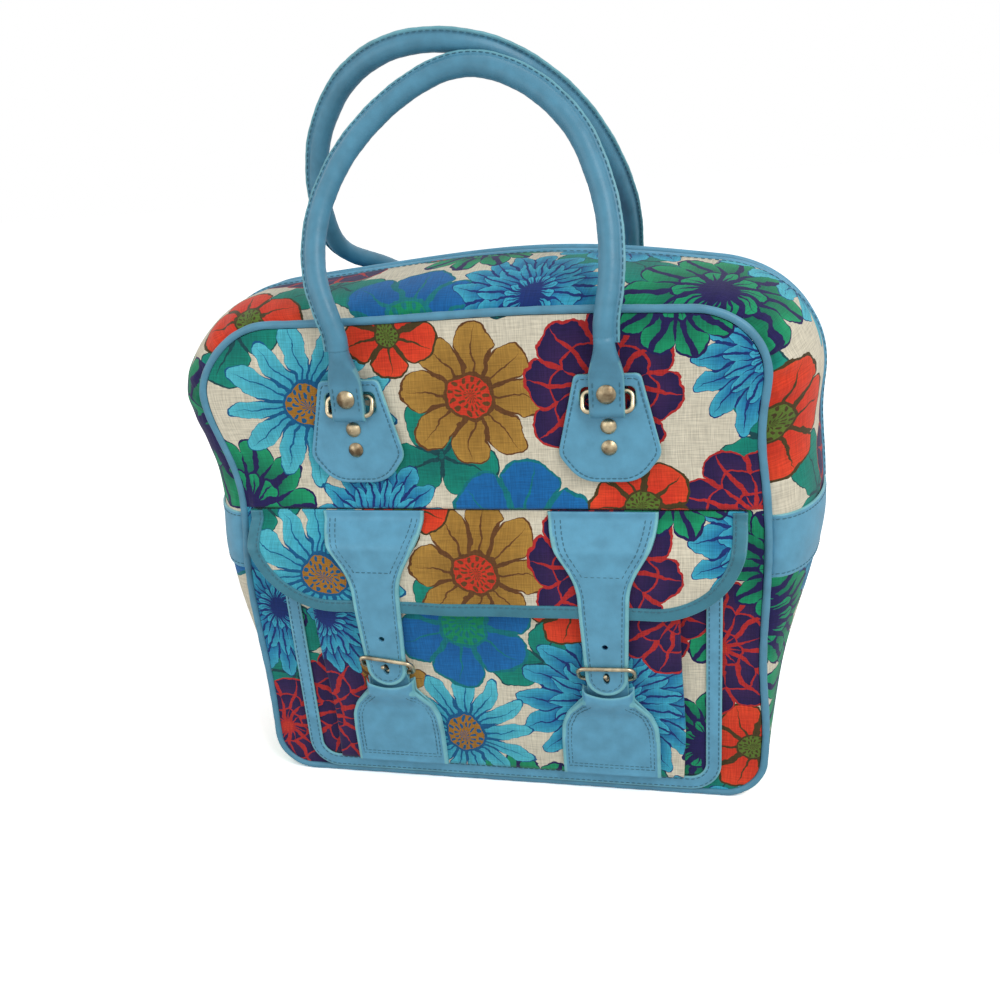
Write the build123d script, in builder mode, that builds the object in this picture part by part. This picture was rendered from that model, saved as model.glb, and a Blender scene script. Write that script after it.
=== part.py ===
from build123d import *
import os
from math import cos, radians, sin, tan

# A vintage two-handled zip bag in printed cloth with vinyl trim.
# Millimetres. X runs to the right, the front panel faces -Y and Z is up.
# The origin is the middle of the flat bottom that the bag stands on.

os.makedirs("parts", exist_ok=True)

# Bag body
panel_width = 362
panel_height = 349
bag_depth = 175
wall = 3
corner_radius = 48
foot_radius = 26
floor_skim = 0.3
side_swell = 41
foot_swell = 8
top_swell = 26
corner_swell = 32
panel_crown = 1.5
swell_crown = 8
side_straight_z = 205
swell_steps = ((0.09, 0.55), (0.24, 0.88))

# Gaps between pieces that touch softly, and between pieces that turn
seat_gap = 0.3
shank_gap = 0.15

# Piping round both panels
piping_radius = 2.6
piping_proud = 1.8

# Front panel seam and the hem that covers the top of the flap
seam_z = 219
hem_height = 9
hem_proud = 3
hem_round = 1.35

# Zip over the top of the bag
slot_half = 8.5
lip_width = 4.5
lip_proud = 1
lip_round = 1.6
lip_long_edge = 40
tape_drop = 1
tape_thickness = 0.8
tape_half = 15
coil_gap_half = 0.8
coil_width = 2.8
coil_height = 2.2

# Vinyl bands round both sides, over the ends of the zip
band_bottom_z = 170
band_top_z = 214
band_thickness = 1.5
zip_end_z = 194

# Zip slider and pull, at the closed end above the left band
slider_length = 14
slider_width = 9.4
slider_plate = 1.6
slider_under_plate = 1.2
slider_rise = 12
post_width = 1
pull_pin_radius = 0.8
pull_pin_height = 4.6
pull_ear_width = 1.3
pull_ear_radius = 1.7
pull_width = 4.6
pull_length = 25
pull_thickness = 1.2
pull_eye_radius = 1.8
pull_hole_rise = 2.8
pull_hole_radius = 0.9
pull_foot_round = 1.8

# Stiff board inside, on the bottom
board_side_gap = 21
board_end_gap = 25.5
board_thickness = 3
board_corner = 18

# Shield tabs that carry the handles
tab_x = 84
tab_top_z = 309
tab_bottom_z = 235
tab_top_half = 20
tab_wide_half = 33
tab_wide_z = 256
tab_thickness = 2
tab_corner = 3
tab_cheek = 11
window_width = 36
window_height = 16
window_bottom_z = 285.5
window_corner = 4

# Rectangular ring in each tab's window
ring_width = 34
ring_height = 16
ring_wire = 1.6
ring_corner = 4
ring_bar_z = 298
ring_low_reach = 8.8

# Chape, the short vinyl loop behind each tab that holds its ring
chape_width = 18
chape_layer = 1
chape_bottom_z = 256

# Rivets
tab_rivet_z = (276, 262)
tab_rivet_radius = 5
tab_rivet_dome = 2.4
handle_rivet_radius = 6
handle_rivet_dome = 2.8
handle_rivet_rise = 11.5
rivet_rim = 0.8
rivet_shank = 2
burr_radius = 4.5
burr_height = 1

# Handles, each a vinyl tube over a cord core, with a stitched fin
handle_radius = 7.4
handle_skin = 2
handle_core_gap = 0.2
fin_reach = 3.4
fin_sink = 2
fin_thickness = 2.4
strap_end_width = 22
strap_end_thickness = 4.6
strap_end_round = 2.1
strap_end_top_z = 307
fold_share = 1.3
handle_start_z = 330
handle_stand = 12
leg_bend_z = 357
front_arch = dict(left=-103, right=91, top=489, lean_to=-44, corner=86, bend=55)
rear_arch = dict(left=-132, right=91, top=508.5, lean_to=-38, corner=94, bend=45)

# Pleated pocket under the flap
pocket_side_gap = 31
pocket_bottom_z = 17
pocket_top_drop = 31
pocket_cloth = 1.5
pleat_side_gap = 52
pleat_depth = 15
pleat_rise = (3.5, 1, 3, 2)
pleat_foot_share = 0.08
pocket_band_width = 10.5
pocket_band_thickness = 1.2
pocket_band_side_gap = 27
pocket_band_bottom_z = 6
pocket_band_corner = 22

# Flap
flap_side_gap = 13
flap_bottom_z = 149
flap_corner_drop = 12
flap_thickness = 2.4
flap_gap = 0.6
flap_bend = 6
flap_shoulder_drop = 23
flap_root_drop = 8
binding_leaf = 0.9
binding_width = 8.5

# Two closing straps and their buckles
strap_x = 78
strap_thickness = 2.2
strap_root_half = 36
strap_flare_ease = 0.45
strap_bend_rise = 2
strap_neck_half = 17
strap_neck_z = 160
strap_tip_half = 14.5
strap_tip_z = 89
strap_tip_tuck = 0.6
strap_hole_radius = 2
strap_spare_hole_z = 128
prong_slot_width = 6
prong_slot_length = 14

lower_tab_half = 34.5
lower_tab_bottom_z = 20
lower_tab_wide_z = 50
lower_tab_cheek_half = 29.5
lower_tab_cheek_z = 70
lower_tab_neck_half = 17.8
lower_tab_neck_z = 83
lower_tab_mouth_z = 93
lower_tab_mouth_dip = 5
lower_tab_leaf = 1.2
lower_tab_seam_z = 72

buckle_wire = 1.5
buckle_width = 41
buckle_corner = 5
buckle_heel_z = 100
buckle_bar_z = 112
buckle_chape_width = 28
buckle_chape_layer = 1
buckle_chape_slot = 5
buckle_chape_bottom_z = 84
prong_radius = 1.1
prong_lift = 36
prong_length = 13
prong_tip_round = 0.85
prong_eye_width = 3.6
prong_eye_wall = 1


# Worked out from the sizes above
half_depth = bag_depth / 2
board_half_width = panel_width / 2 - board_side_gap
board_half_depth = half_depth - board_end_gap
pocket_half = panel_width / 2 - pocket_side_gap
pocket_band_half = panel_width / 2 - pocket_band_side_gap
pocket_top_z = seam_z - pocket_top_drop
pleat_outer_x = panel_width / 2 - pleat_side_gap
pleat_inner_x = pleat_outer_x - pleat_depth
flap_half = panel_width / 2 - flap_side_gap
flap_corner = seam_z - flap_bottom_z - flap_corner_drop
flap_shoulder_z = seam_z - flap_shoulder_drop
flap_root_z = seam_z - flap_root_drop
piping_reach = half_depth - piping_radius + piping_proud
gusset_reach = piping_reach - piping_radius - seat_gap
panel_inset = -(piping_radius + seat_gap)
floor_lift = piping_radius + 0.2
tab_back = 2 * seat_gap + 2 * chape_layer
tab_front = tab_back + tab_thickness
ring_bar_reach = seat_gap + ring_wire + seat_gap + chape_layer
ring_drop = ring_height - 2 * ring_wire
ring_low_z = ring_bar_z - (ring_drop ** 2 - (ring_low_reach - ring_bar_reach) ** 2) ** 0.5
loop_hole = ring_wire + seat_gap
loop_radius = loop_hole + handle_skin
tape_top = -(wall + tape_drop)
flap_back = (
    3 * pocket_cloth + 3 * seat_gap + sum(pleat_rise) + binding_leaf + flap_gap
)
flap_mid = flap_back + flap_thickness / 2
strap_mid = flap_back + flap_thickness + binding_leaf + seat_gap + strap_thickness / 2
buckle_loop_radius = buckle_wire + seat_gap + buckle_chape_layer


def at_depth(y):
    """The upright plane that faces the front, at depth y."""
    return Plane.XZ.offset(-y)


def pleat_share(z):
    """How far the pleats have opened at height z, from nearly flat at the bottom to 1."""
    height_share = (z - pocket_bottom_z) / (pocket_top_z - pocket_bottom_z)
    return pleat_foot_share + (1 - pleat_foot_share) * height_share


def pocket_face(z):
    """How far the front of the pocket stands off the panel at height z."""
    return 3 * seat_gap + 3 * pocket_cloth + sum(pleat_rise) * pleat_share(z)


heel_reach = pocket_face(buckle_heel_z) + seat_gap + buckle_loop_radius
strap_heel_mid = heel_reach + buckle_loop_radius + seat_gap + strap_thickness / 2
strap_low_slope = (strap_mid - strap_heel_mid) / (flap_bottom_z - buckle_heel_z)
bar_reach = (
    strap_heel_mid
    + (buckle_bar_z - buckle_heel_z) * strap_low_slope
    + strap_thickness / 2
    + seat_gap
    + buckle_wire
)
strap_tip_mid = strap_heel_mid - strap_tip_tuck
mouth_inside = strap_heel_mid + strap_thickness / 2 + seat_gap
mouth_base_z = lower_tab_mouth_z - 2 * lower_tab_mouth_dip
prong_hole_z = buckle_heel_z + (strap_heel_mid - heel_reach) * tan(radians(prong_lift))


def save(piece, name):
    """Labels a finished piece and writes it to its own file."""
    piece.part.label = name
    export_step(piece.part, "parts/" + name + ".step")


def outline(y, swell, grow):
    """Closed outline of the bag at depth y.

    swell is 0 at the panels and 1 halfway between them. grow moves the line outwards.
    """
    half = panel_width / 2 + side_swell * swell
    foot = panel_width / 2 + foot_swell * swell
    corner = corner_radius + corner_swell * swell
    lean = panel_crown + (swell_crown - panel_crown) * swell
    crown_radius = corner + (half - corner) / sin(radians(lean))
    crown_rise = (crown_radius - corner) * cos(radians(lean))
    top_z = panel_height + top_swell * swell
    crown_z = top_z - crown_radius
    shoulder_z = crown_z + crown_rise
    floor_z = floor_lift * max(0, 1 - 2 * swell) - (floor_skim if swell else 0)
    knee_z = floor_z + foot_radius
    pull = (side_straight_z - knee_z) / 3
    with BuildSketch(at_depth(y)) as shape:
        with BuildLine():
            Line((foot_radius - foot, floor_z - grow), (foot - foot_radius, floor_z - grow))
            CenterArc((0, crown_z), crown_radius + grow, 90 - lean, 2 * lean)
            for side in (-1, 1):
                CenterArc((side * (foot - foot_radius), knee_z), foot_radius + grow,
                          -90 if side > 0 else 180, 90)
                Bezier(
                    (side * (foot + grow), knee_z),
                    (side * (foot + grow), knee_z + pull),
                    (side * (half + grow), side_straight_z - pull),
                    (side * (half + grow), side_straight_z),
                )
                Line((side * (half + grow), side_straight_z), (side * (half + grow), shoulder_z))
                CenterArc((side * (half - corner), shoulder_z), corner + grow,
                          0 if side > 0 else 90 + lean, 90 - lean)
        make_face()
    return shape.sketch


def gusset_stations():
    """Depths and swells of the outlines that the gusset is lofted through."""
    front = [(-gusset_reach, 0)]
    front += [(-gusset_reach + share * bag_depth, swell) for share, swell in swell_steps]
    rear = [(-y, swell) for y, swell in reversed(front)]
    return front + [(0, 1)] + rear


def loft_gusset(grow, mode):
    """Lofts the swollen body of the bag, grown outwards, into the BuildPart in use."""
    loft(sections=[outline(y, swell, grow) for y, swell in gusset_stations()], mode=mode)


def zip_ring(inner, outer, near, far, bottom_z):
    """A strip that follows the middle outline over the top, from y near to y far."""
    middle = (near + far) / 2
    extrude(outline(middle, 1, outer), amount=abs(far - near) / 2, both=True)
    extrude(outline(middle, 1, inner), amount=abs(far - near) / 2, both=True, mode=Mode.SUBTRACT)
    split(bisect_by=Plane.XY.offset(bottom_z), keep=Keep.TOP)


# Gusset: two zipped strips over the top and one long strip round the bottom
with BuildPart() as gusset:
    loft_gusset(0, Mode.ADD)
    loft_gusset(-wall, Mode.SUBTRACT)
    split(bisect_by=Plane.XY, keep=Keep.TOP)

with BuildPart() as lower_gusset:
    add(gusset.part)
    split(bisect_by=Plane.XY.offset(zip_end_z), keep=Keep.BOTTOM)
save(lower_gusset, "lower_gusset")

zip_edge = slot_half + lip_width + seat_gap
for side, name in ((-1, "front_zip_gusset"), (1, "rear_zip_gusset")):
    with BuildPart() as zip_gusset:
        add(gusset.part)
        split(bisect_by=Plane.XY.offset(zip_end_z), keep=Keep.TOP)
        split(bisect_by=at_depth(side * zip_edge), keep=Keep.BOTTOM if side > 0 else Keep.TOP)
    save(zip_gusset, name)

# Vinyl bands round the sides
for side, name in ((-1, "left_side_band"), (1, "right_side_band")):
    with BuildPart() as side_band:
        loft_gusset(seat_gap + band_thickness, Mode.ADD)
        loft_gusset(seat_gap, Mode.SUBTRACT)
        split(bisect_by=Plane.XY.offset(band_bottom_z), keep=Keep.TOP)
        split(bisect_by=Plane.XY.offset(band_top_z), keep=Keep.BOTTOM)
        split(bisect_by=Plane.YZ, keep=Keep.TOP if side > 0 else Keep.BOTTOM)
    save(side_band, name)

# Rolled vinyl lips, tapes and coils of the zip
for side, place in ((-1, "front"), (1, "rear")):
    with BuildPart() as zip_lip:
        zip_ring(tape_top, lip_proud, side * slot_half, side * (slot_half + lip_width),
                 band_top_z + seat_gap)
        rim = zip_lip.edges().filter_by(GeomType.LINE, reverse=True)
        over_top = rim.filter_by(lambda edge: edge.center().Z > band_top_z + lip_width)
        fillet(over_top.filter_by(lambda edge: edge.length > lip_long_edge), lip_round)
    save(zip_lip, place + "_zip_lip")

    with BuildPart() as zip_tape:
        zip_ring(tape_top - tape_thickness, tape_top, side * coil_gap_half, side * tape_half,
                 zip_end_z)
    save(zip_tape, place + "_zip_tape")

    with BuildPart() as zip_coil:
        zip_ring(tape_top, tape_top + coil_height, side * coil_gap_half,
                 side * (coil_gap_half + coil_width), zip_end_z)
    save(zip_coil, place + "_zip_coil")


# Panels and the piping round them
def panel(side, low_z, high_z):
    """A flat panel inside its piping, cut to the heights given."""
    extrude(outline(side * (half_depth - wall / 2), 0, panel_inset), amount=wall / 2, both=True)
    split(bisect_by=Plane.XY.offset(low_z), keep=Keep.TOP)
    split(bisect_by=Plane.XY.offset(high_z), keep=Keep.BOTTOM)


def rivet_holes(side):
    """Holes for the tab rivets, through whatever is in the BuildPart in use."""
    with BuildSketch(at_depth(side * half_depth)) as holes:
        with Locations(*[(x, z) for x in (-tab_x, tab_x) for z in tab_rivet_z]):
            Circle(rivet_shank + shank_gap)
    extrude(holes.sketch, amount=tab_front + wall, both=True, mode=Mode.SUBTRACT)


with BuildPart() as front_lower_panel:
    panel(-1, -wall, seam_z)
save(front_lower_panel, "front_lower_panel")

with BuildPart() as front_upper_panel:
    panel(-1, seam_z, panel_height + wall)
    with BuildSketch(Plane.YZ):
        with Locations((-half_depth, seam_z + hem_height / 2)):
            RectangleRounded(2 * hem_proud, hem_height, hem_round)
        with Locations((-half_depth + hem_proud / 2, seam_z + hem_height / 2)):
            Rectangle(hem_proud, hem_height, mode=Mode.SUBTRACT)
    extrude(amount=panel_width / 2 + panel_inset - seat_gap, both=True)
    rivet_holes(-1)
save(front_upper_panel, "front_upper_panel")

with BuildPart() as back_panel:
    panel(1, -wall, panel_height + wall)
    rivet_holes(1)
save(back_panel, "back_panel")

for side, name in ((-1, "front_piping"), (1, "rear_piping")):
    path = outline(side * piping_reach, 0, 0).face().outer_wire()
    with BuildPart() as piping:
        with BuildSketch(Plane(origin=path @ 0, z_dir=path % 0)):
            Circle(piping_radius)
        sweep(path=path)
    save(piping, name)

# Stiff board on the bottom, inside
with BuildPart() as base_board:
    with BuildSketch(Plane.XY.offset(wall + seat_gap)):
        RectangleRounded(2 * board_half_width, 2 * board_half_depth, board_corner)
    extrude(amount=board_thickness)
save(base_board, "base_board")

# Zip slider on its straight stretch: two plates round the coils, joined by a thin post
slider_z = band_top_z + slider_rise
tape_x = -(panel_width / 2 + side_swell + tape_top)
under_x = tape_x + tape_thickness + seat_gap
plate_x = tape_x - coil_height - seat_gap
plate_top_x = plate_x - slider_plate
pin_x = plate_x - pull_pin_height
flange_inner_y = coil_gap_half + coil_width + seat_gap
flange_width = slider_width / 2 - flange_inner_y
ear_y = pull_width / 2 + seat_gap + pull_ear_width / 2

with BuildPart() as zip_slider:
    for low_x, thickness in ((plate_top_x, slider_plate), (under_x, slider_under_plate)):
        with BuildSketch(Plane.YZ.offset(low_x)):
            with Locations((0, slider_z)):
                SlotOverall(slider_length, slider_width, rotation=90)
        extrude(amount=thickness)
    with BuildSketch(Plane.YZ.offset(plate_x)):
        with Locations((0, slider_z + slider_length / 4)):
            Rectangle(post_width, slider_length / 4)
    extrude(amount=under_x - plate_x)
    with BuildSketch(Plane.YZ.offset(plate_x)):
        for side in (-1, 1):
            with Locations((side * (flange_inner_y + flange_width / 2), slider_z)):
                Rectangle(flange_width, slider_length / 2)
    extrude(amount=coil_height)
    for side in (-1, 1):
        with BuildSketch(at_depth(side * ear_y)):
            with Locations((pin_x, slider_z)):
                Circle(pull_ear_radius)
            with Locations(((pin_x + plate_x) / 2, slider_z)):
                Rectangle(plate_x - pin_x, 2 * pull_ear_radius)
        extrude(amount=pull_ear_width / 2, both=True)
    with BuildSketch(Plane.XZ):
        with Locations((pin_x, slider_z)):
            Circle(pull_pin_radius)
    extrude(amount=ear_y, both=True)
save(zip_slider, "zip_slider")

with BuildPart() as zip_pull:
    with BuildSketch(Plane.XZ):
        with Locations((pin_x, slider_z)):
            Circle(pull_eye_radius)
        with Locations((pin_x, slider_z - pull_length / 2)):
            Rectangle(pull_thickness, pull_length)
        with Locations((pin_x, slider_z)):
            Circle(pull_pin_radius + seat_gap, mode=Mode.SUBTRACT)
    extrude(amount=pull_width / 2, both=True)
    with BuildSketch(Plane.YZ.offset(pin_x)):
        with Locations((0, slider_z - pull_length)):
            Rectangle(pull_width, pull_length + pull_eye_radius,
                      align=(Align.CENTER, Align.MIN))
        with Locations((0, slider_z - pull_length + pull_hole_rise)):
            Circle(pull_hole_radius, mode=Mode.SUBTRACT)
    extrude(amount=pull_eye_radius, both=True, mode=Mode.INTERSECT)
    foot_edges = zip_pull.edges().filter_by(Axis.X).group_by(Axis.Z)[0]
    fillet(foot_edges, pull_foot_round)
save(zip_pull, "zip_pull")


# Handle hardware, the same on the front and the back
def shield(side, x):
    """Outline of a shield tab with its window."""
    with BuildSketch(at_depth(side * (half_depth + (tab_back + tab_front) / 2))) as shape:
        with BuildLine():
            Polyline(
                (x - tab_wide_half, tab_wide_z),
                (x - tab_top_half, tab_top_z),
                (x + tab_top_half, tab_top_z),
                (x + tab_wide_half, tab_wide_z),
            )
            ThreePointArc(
                (x + tab_wide_half, tab_wide_z),
                (x, tab_bottom_z),
                (x - tab_wide_half, tab_wide_z),
            )
        make_face()
        fillet(shape.vertices().group_by(Axis.Y)[-1], tab_corner)
        fillet(shape.vertices().sort_by(Axis.Y)[:2], tab_cheek)
        with Locations((x, window_bottom_z + window_height / 2)):
            RectangleRounded(window_width, window_height, window_corner, mode=Mode.SUBTRACT)
    return shape.sketch


def wire_ring(origin, up, width, height, wire, corner):
    """Sweeps a closed rectangular wire ring whose first bar is centred on origin."""
    plane = Plane(origin=origin, x_dir=(1, 0, 0), z_dir=Vector(1, 0, 0).cross(up))
    with BuildSketch(plane) as middle:
        RectangleRounded(width - 2 * wire, height, corner, align=(Align.CENTER, Align.MIN))
    path = middle.sketch.face().outer_wire()
    with BuildSketch(Plane(origin=path @ 0, z_dir=path % 0)) as section:
        Circle(wire)
    sweep(section.sketch, path=path)


def rivet(side, x, z, head, head_radius, dome, tail, burr):
    """Revolves one rivet: its head sits at distance head, its shank ends at tail."""
    crown = head + rivet_rim + dome
    dome_radius = (head_radius ** 2 + dome ** 2) / (2 * dome)
    middle = (head_radius / 2, crown - dome_radius + (dome_radius ** 2 - head_radius ** 2 / 4) ** 0.5)
    base = Plane(origin=(x, side * half_depth, z), x_dir=(1, 0, 0), z_dir=(0, 0, side))
    back = [(0, crown), (0, tail - burr)]
    if burr:
        back += [(burr_radius, tail - burr), (burr_radius, tail)]
    with BuildSketch(base) as profile:
        with BuildLine():
            Polyline(
                *back,
                (rivet_shank, tail),
                (rivet_shank, head),
                (head_radius, head),
                (head_radius, head + rivet_rim),
            )
            ThreePointArc(
                (head_radius, head + rivet_rim),
                middle,
                (0, crown),
            )
        make_face()
    revolve(profile.sketch, axis=Axis((x, side * half_depth, z), (0, 1, 0)))


for side, place in ((-1, "front"), (1, "rear")):
    for hand, tab_centre in (("left", -tab_x), ("right", tab_x)):
        with BuildPart() as tab:
            extrude(shield(side, tab_centre), amount=tab_thickness / 2, both=True)
            rivet_holes(side)
        save(tab, place + "_" + hand + "_tab")

        bar_y = side * (half_depth + ring_bar_reach)
        with BuildPart() as ring:
            ring_down = Vector(0, side * (ring_low_reach - ring_bar_reach), ring_low_z - ring_bar_z)
            wire_ring((tab_centre, bar_y, ring_bar_z), ring_down, ring_width, ring_drop, ring_wire,
                      ring_corner)
        save(ring, place + "_" + hand + "_ring")

        with BuildPart() as chape:
            with BuildSketch(Plane.YZ.offset(tab_centre)):
                with Locations((bar_y, ring_bar_z)):
                    Circle(loop_hole + chape_layer)
                with Locations((side * (half_depth + seat_gap + chape_layer), chape_bottom_z)):
                    Rectangle(2 * chape_layer, ring_bar_z - chape_bottom_z,
                              align=(Align.CENTER, Align.MIN))
                with Locations((bar_y, ring_bar_z)):
                    Circle(loop_hole, mode=Mode.SUBTRACT)
            extrude(amount=chape_width / 2, both=True)
            rivet_holes(side)
        save(chape, place + "_" + hand + "_chape")

with BuildPart() as tab_rivets:
    for side in (-1, 1):
        for x in (-tab_x, tab_x):
            for z in tab_rivet_z:
                rivet(side, x, z, tab_front, tab_rivet_radius, tab_rivet_dome, -wall, burr_height)
save(tab_rivets, "tab_rivets")


# Handles
def handle_path(side, arch):
    """Centre line of a handle: up past the panel, then leaning in over the bag."""
    reach = side * (half_depth + handle_stand)
    with BuildLine() as line:
        FilletPolyline(
            (-tab_x, reach, handle_start_z),
            (-tab_x, reach, leg_bend_z),
            (arch["left"], arch["lean_to"], arch["top"]),
            (arch["right"], arch["lean_to"], arch["top"]),
            (tab_x, reach, leg_bend_z),
            (tab_x, reach, handle_start_z),
            radius=[arch["bend"], arch["corner"], arch["corner"], arch["bend"]],
        )
    return line.wire()


def handle_foot(side, x):
    """A handle's flattened end, folded round the ring's lower bar."""
    mid = side * (half_depth + ring_low_reach)
    half = strap_end_thickness / 2
    fold_top_z = ring_low_z + fold_share * loop_radius
    with BuildSketch(Plane.YZ.offset(x)) as fold:
        with BuildLine():
            Polyline(
                (mid - loop_radius, ring_low_z),
                (mid - half, fold_top_z),
                (mid - half, strap_end_top_z),
                (mid + half, strap_end_top_z),
                (mid + half, fold_top_z),
                (mid + loop_radius, ring_low_z),
            )
            ThreePointArc(
                (mid + loop_radius, ring_low_z),
                (mid, ring_low_z - loop_radius),
                (mid - loop_radius, ring_low_z),
            )
        make_face()
        with Locations((mid, ring_low_z)):
            Circle(loop_hole, mode=Mode.SUBTRACT)
    extrude(fold.sketch, amount=strap_end_width / 2, both=True)
    with BuildSketch(Plane.XY.offset(strap_end_top_z)) as flat_end:
        with Locations((x, mid)):
            RectangleRounded(strap_end_width, strap_end_thickness, strap_end_round)
    with BuildSketch(Plane.XY.offset(handle_start_z)) as round_end:
        with Locations((x, side * (half_depth + handle_stand))):
            Circle(handle_radius)
    loft(sections=[flat_end.sketch, round_end.sketch])
    with BuildSketch(at_depth(mid)) as hole:
        with Locations((x, ring_low_z + handle_rivet_rise)):
            Circle(rivet_shank + shank_gap)
    extrude(hole.sketch, amount=strap_end_thickness, both=True, mode=Mode.SUBTRACT)


for side, place, arch in ((-1, "front", front_arch), (1, "rear", rear_arch)):
    grip = handle_path(side, arch)
    start = Plane(origin=grip @ 0, x_dir=(1, 0, 0), z_dir=grip % 0)
    with BuildPart() as handle:
        with BuildSketch(start):
            Circle(handle_radius)
            with Locations((fin_sink - handle_radius, 0)):
                Rectangle(fin_reach + fin_sink, fin_thickness, align=(Align.MAX, Align.CENTER))
        sweep(path=grip)
        with BuildSketch(start):
            Circle(handle_radius - handle_skin)
        sweep(path=grip, mode=Mode.SUBTRACT)
        for x in (-tab_x, tab_x):
            handle_foot(side, x)
    save(handle, place + "_handle")

    with BuildPart() as handle_core:
        with BuildSketch(start):
            Circle(handle_radius - handle_skin - handle_core_gap)
        sweep(path=grip)
    save(handle_core, place + "_handle_core")

    with BuildPart() as handle_rivets:
        for x in (-tab_x, tab_x):
            rivet(side, x, ring_low_z + handle_rivet_rise, ring_low_reach + strap_end_thickness / 2,
                  handle_rivet_radius, handle_rivet_dome, ring_low_reach - strap_end_thickness / 2, 0)
    save(handle_rivets, place + "_handle_rivets")


# Pocket: one cloth sheet with a pleat down each side, flat at the bottom and open at the top
def pocket_section(z):
    """Plan of the pleated sheet at height z, as points off the panel."""
    rise = [pleat_share(z) * r for r in pleat_rise]
    cloth = pocket_cloth
    inner = seat_gap + rise[0]
    fold = inner + cloth + seat_gap + rise[1]
    edge = fold + rise[2]
    face = edge + cloth + seat_gap + rise[3]
    flat_x = pocket_band_half - pocket_band_width - cloth
    outside = [
        (pocket_half, seat_gap),
        (pocket_half, seat_gap + cloth),
        (flat_x, seat_gap + cloth),
        (pleat_inner_x + cloth, inner + cloth),
        (pleat_inner_x + cloth, fold),
        (pleat_outer_x, edge),
        (pleat_outer_x, face + cloth),
    ]
    inside = [
        (pleat_outer_x - cloth, face),
        (pleat_outer_x - cloth, edge + cloth),
        (pleat_inner_x, fold + cloth),
        (pleat_inner_x, inner),
        (flat_x, seat_gap),
    ]
    points = outside + [(-x, u) for x, u in reversed(outside)]
    points += [(-x, u) for x, u in reversed(inside)] + inside
    return [(x, -half_depth - u) for x, u in points]


with BuildPart() as pocket_front:
    for z in (pocket_bottom_z, pocket_top_z):
        with BuildSketch(Plane.XY.offset(z)):
            with BuildLine():
                Polyline(*pocket_section(z), close=True)
            make_face()
    loft(ruled=True)
save(pocket_front, "pocket_front")


def pocket_band_outline(inset):
    """U-shaped outline of the flat vinyl band round the pocket."""
    half = pocket_band_half - inset
    low = pocket_band_bottom_z + inset
    with BuildSketch(at_depth(-half_depth)) as shape:
        with BuildLine():
            FilletPolyline(
                (-half, pocket_top_z),
                (-half, low),
                (half, low),
                (half, pocket_top_z),
                radius=pocket_band_corner - inset,
            )
            Line((-half, pocket_top_z), (half, pocket_top_z))
        make_face()
    return shape.sketch


with BuildPart() as pocket_band:
    sheet_room = pocket_cloth + 2 * seat_gap
    extrude(pocket_band_outline(0), amount=sheet_room + pocket_band_thickness)
    extrude(pocket_band_outline(pocket_band_width), amount=bag_depth, both=True,
            mode=Mode.SUBTRACT)
    with BuildSketch(at_depth(-half_depth)):
        with Locations((0, pocket_bottom_z - seat_gap)):
            Rectangle(2 * (pocket_half + seat_gap), pocket_top_z,
                      align=(Align.CENTER, Align.MIN))
    extrude(amount=sheet_room, mode=Mode.SUBTRACT)
    with BuildSketch(at_depth(-half_depth)):
        with Locations((0, panel_height / 2)):
            Rectangle(panel_width, panel_height)
    extrude(amount=seat_gap, mode=Mode.SUBTRACT)
save(pocket_band, "pocket_band")


# Flap and its binding: one bent side profile, cut to the outline seen from the front
def flap_side(thickness):
    """Side profile of the flap, from the seam over the pocket and down."""
    root = -half_depth - seat_gap - binding_leaf - flap_thickness / 2
    front = -half_depth - flap_mid
    with BuildSketch(Plane.YZ) as profile:
        with BuildLine():
            FilletPolyline(
                (root, seam_z - seat_gap),
                (root, flap_root_z),
                (front, flap_shoulder_z),
                (front, flap_bottom_z - 2 * binding_leaf),
                radius=flap_bend,
            )
        trace(line_width=thickness)
    return profile.sketch


def flap_outline(grow):
    """Outline of the flap seen from the front."""
    half = flap_half + grow
    with BuildSketch(at_depth(-half_depth)) as shape:
        with BuildLine():
            FilletPolyline(
                (-half, seam_z),
                (-half, flap_bottom_z - grow),
                (half, flap_bottom_z - grow),
                (half, seam_z),
                radius=flap_corner + grow,
            )
            Line((-half, seam_z), (half, seam_z))
        make_face()
    return shape.sketch


with BuildPart() as flap:
    extrude(flap_side(flap_thickness), amount=panel_width, both=True)
    extrude(flap_outline(0), amount=bag_depth, both=True, mode=Mode.INTERSECT)
save(flap, "flap")

with BuildPart() as flap_binding:
    extrude(flap_side(flap_thickness + 2 * binding_leaf), amount=panel_width, both=True)
    extrude(flap_outline(binding_leaf), amount=bag_depth, both=True, mode=Mode.INTERSECT)
    extrude(flap_outline(-binding_width), amount=bag_depth, both=True, mode=Mode.SUBTRACT)
    add(flap.part, mode=Mode.SUBTRACT)
save(flap_binding, "flap_binding")


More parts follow.
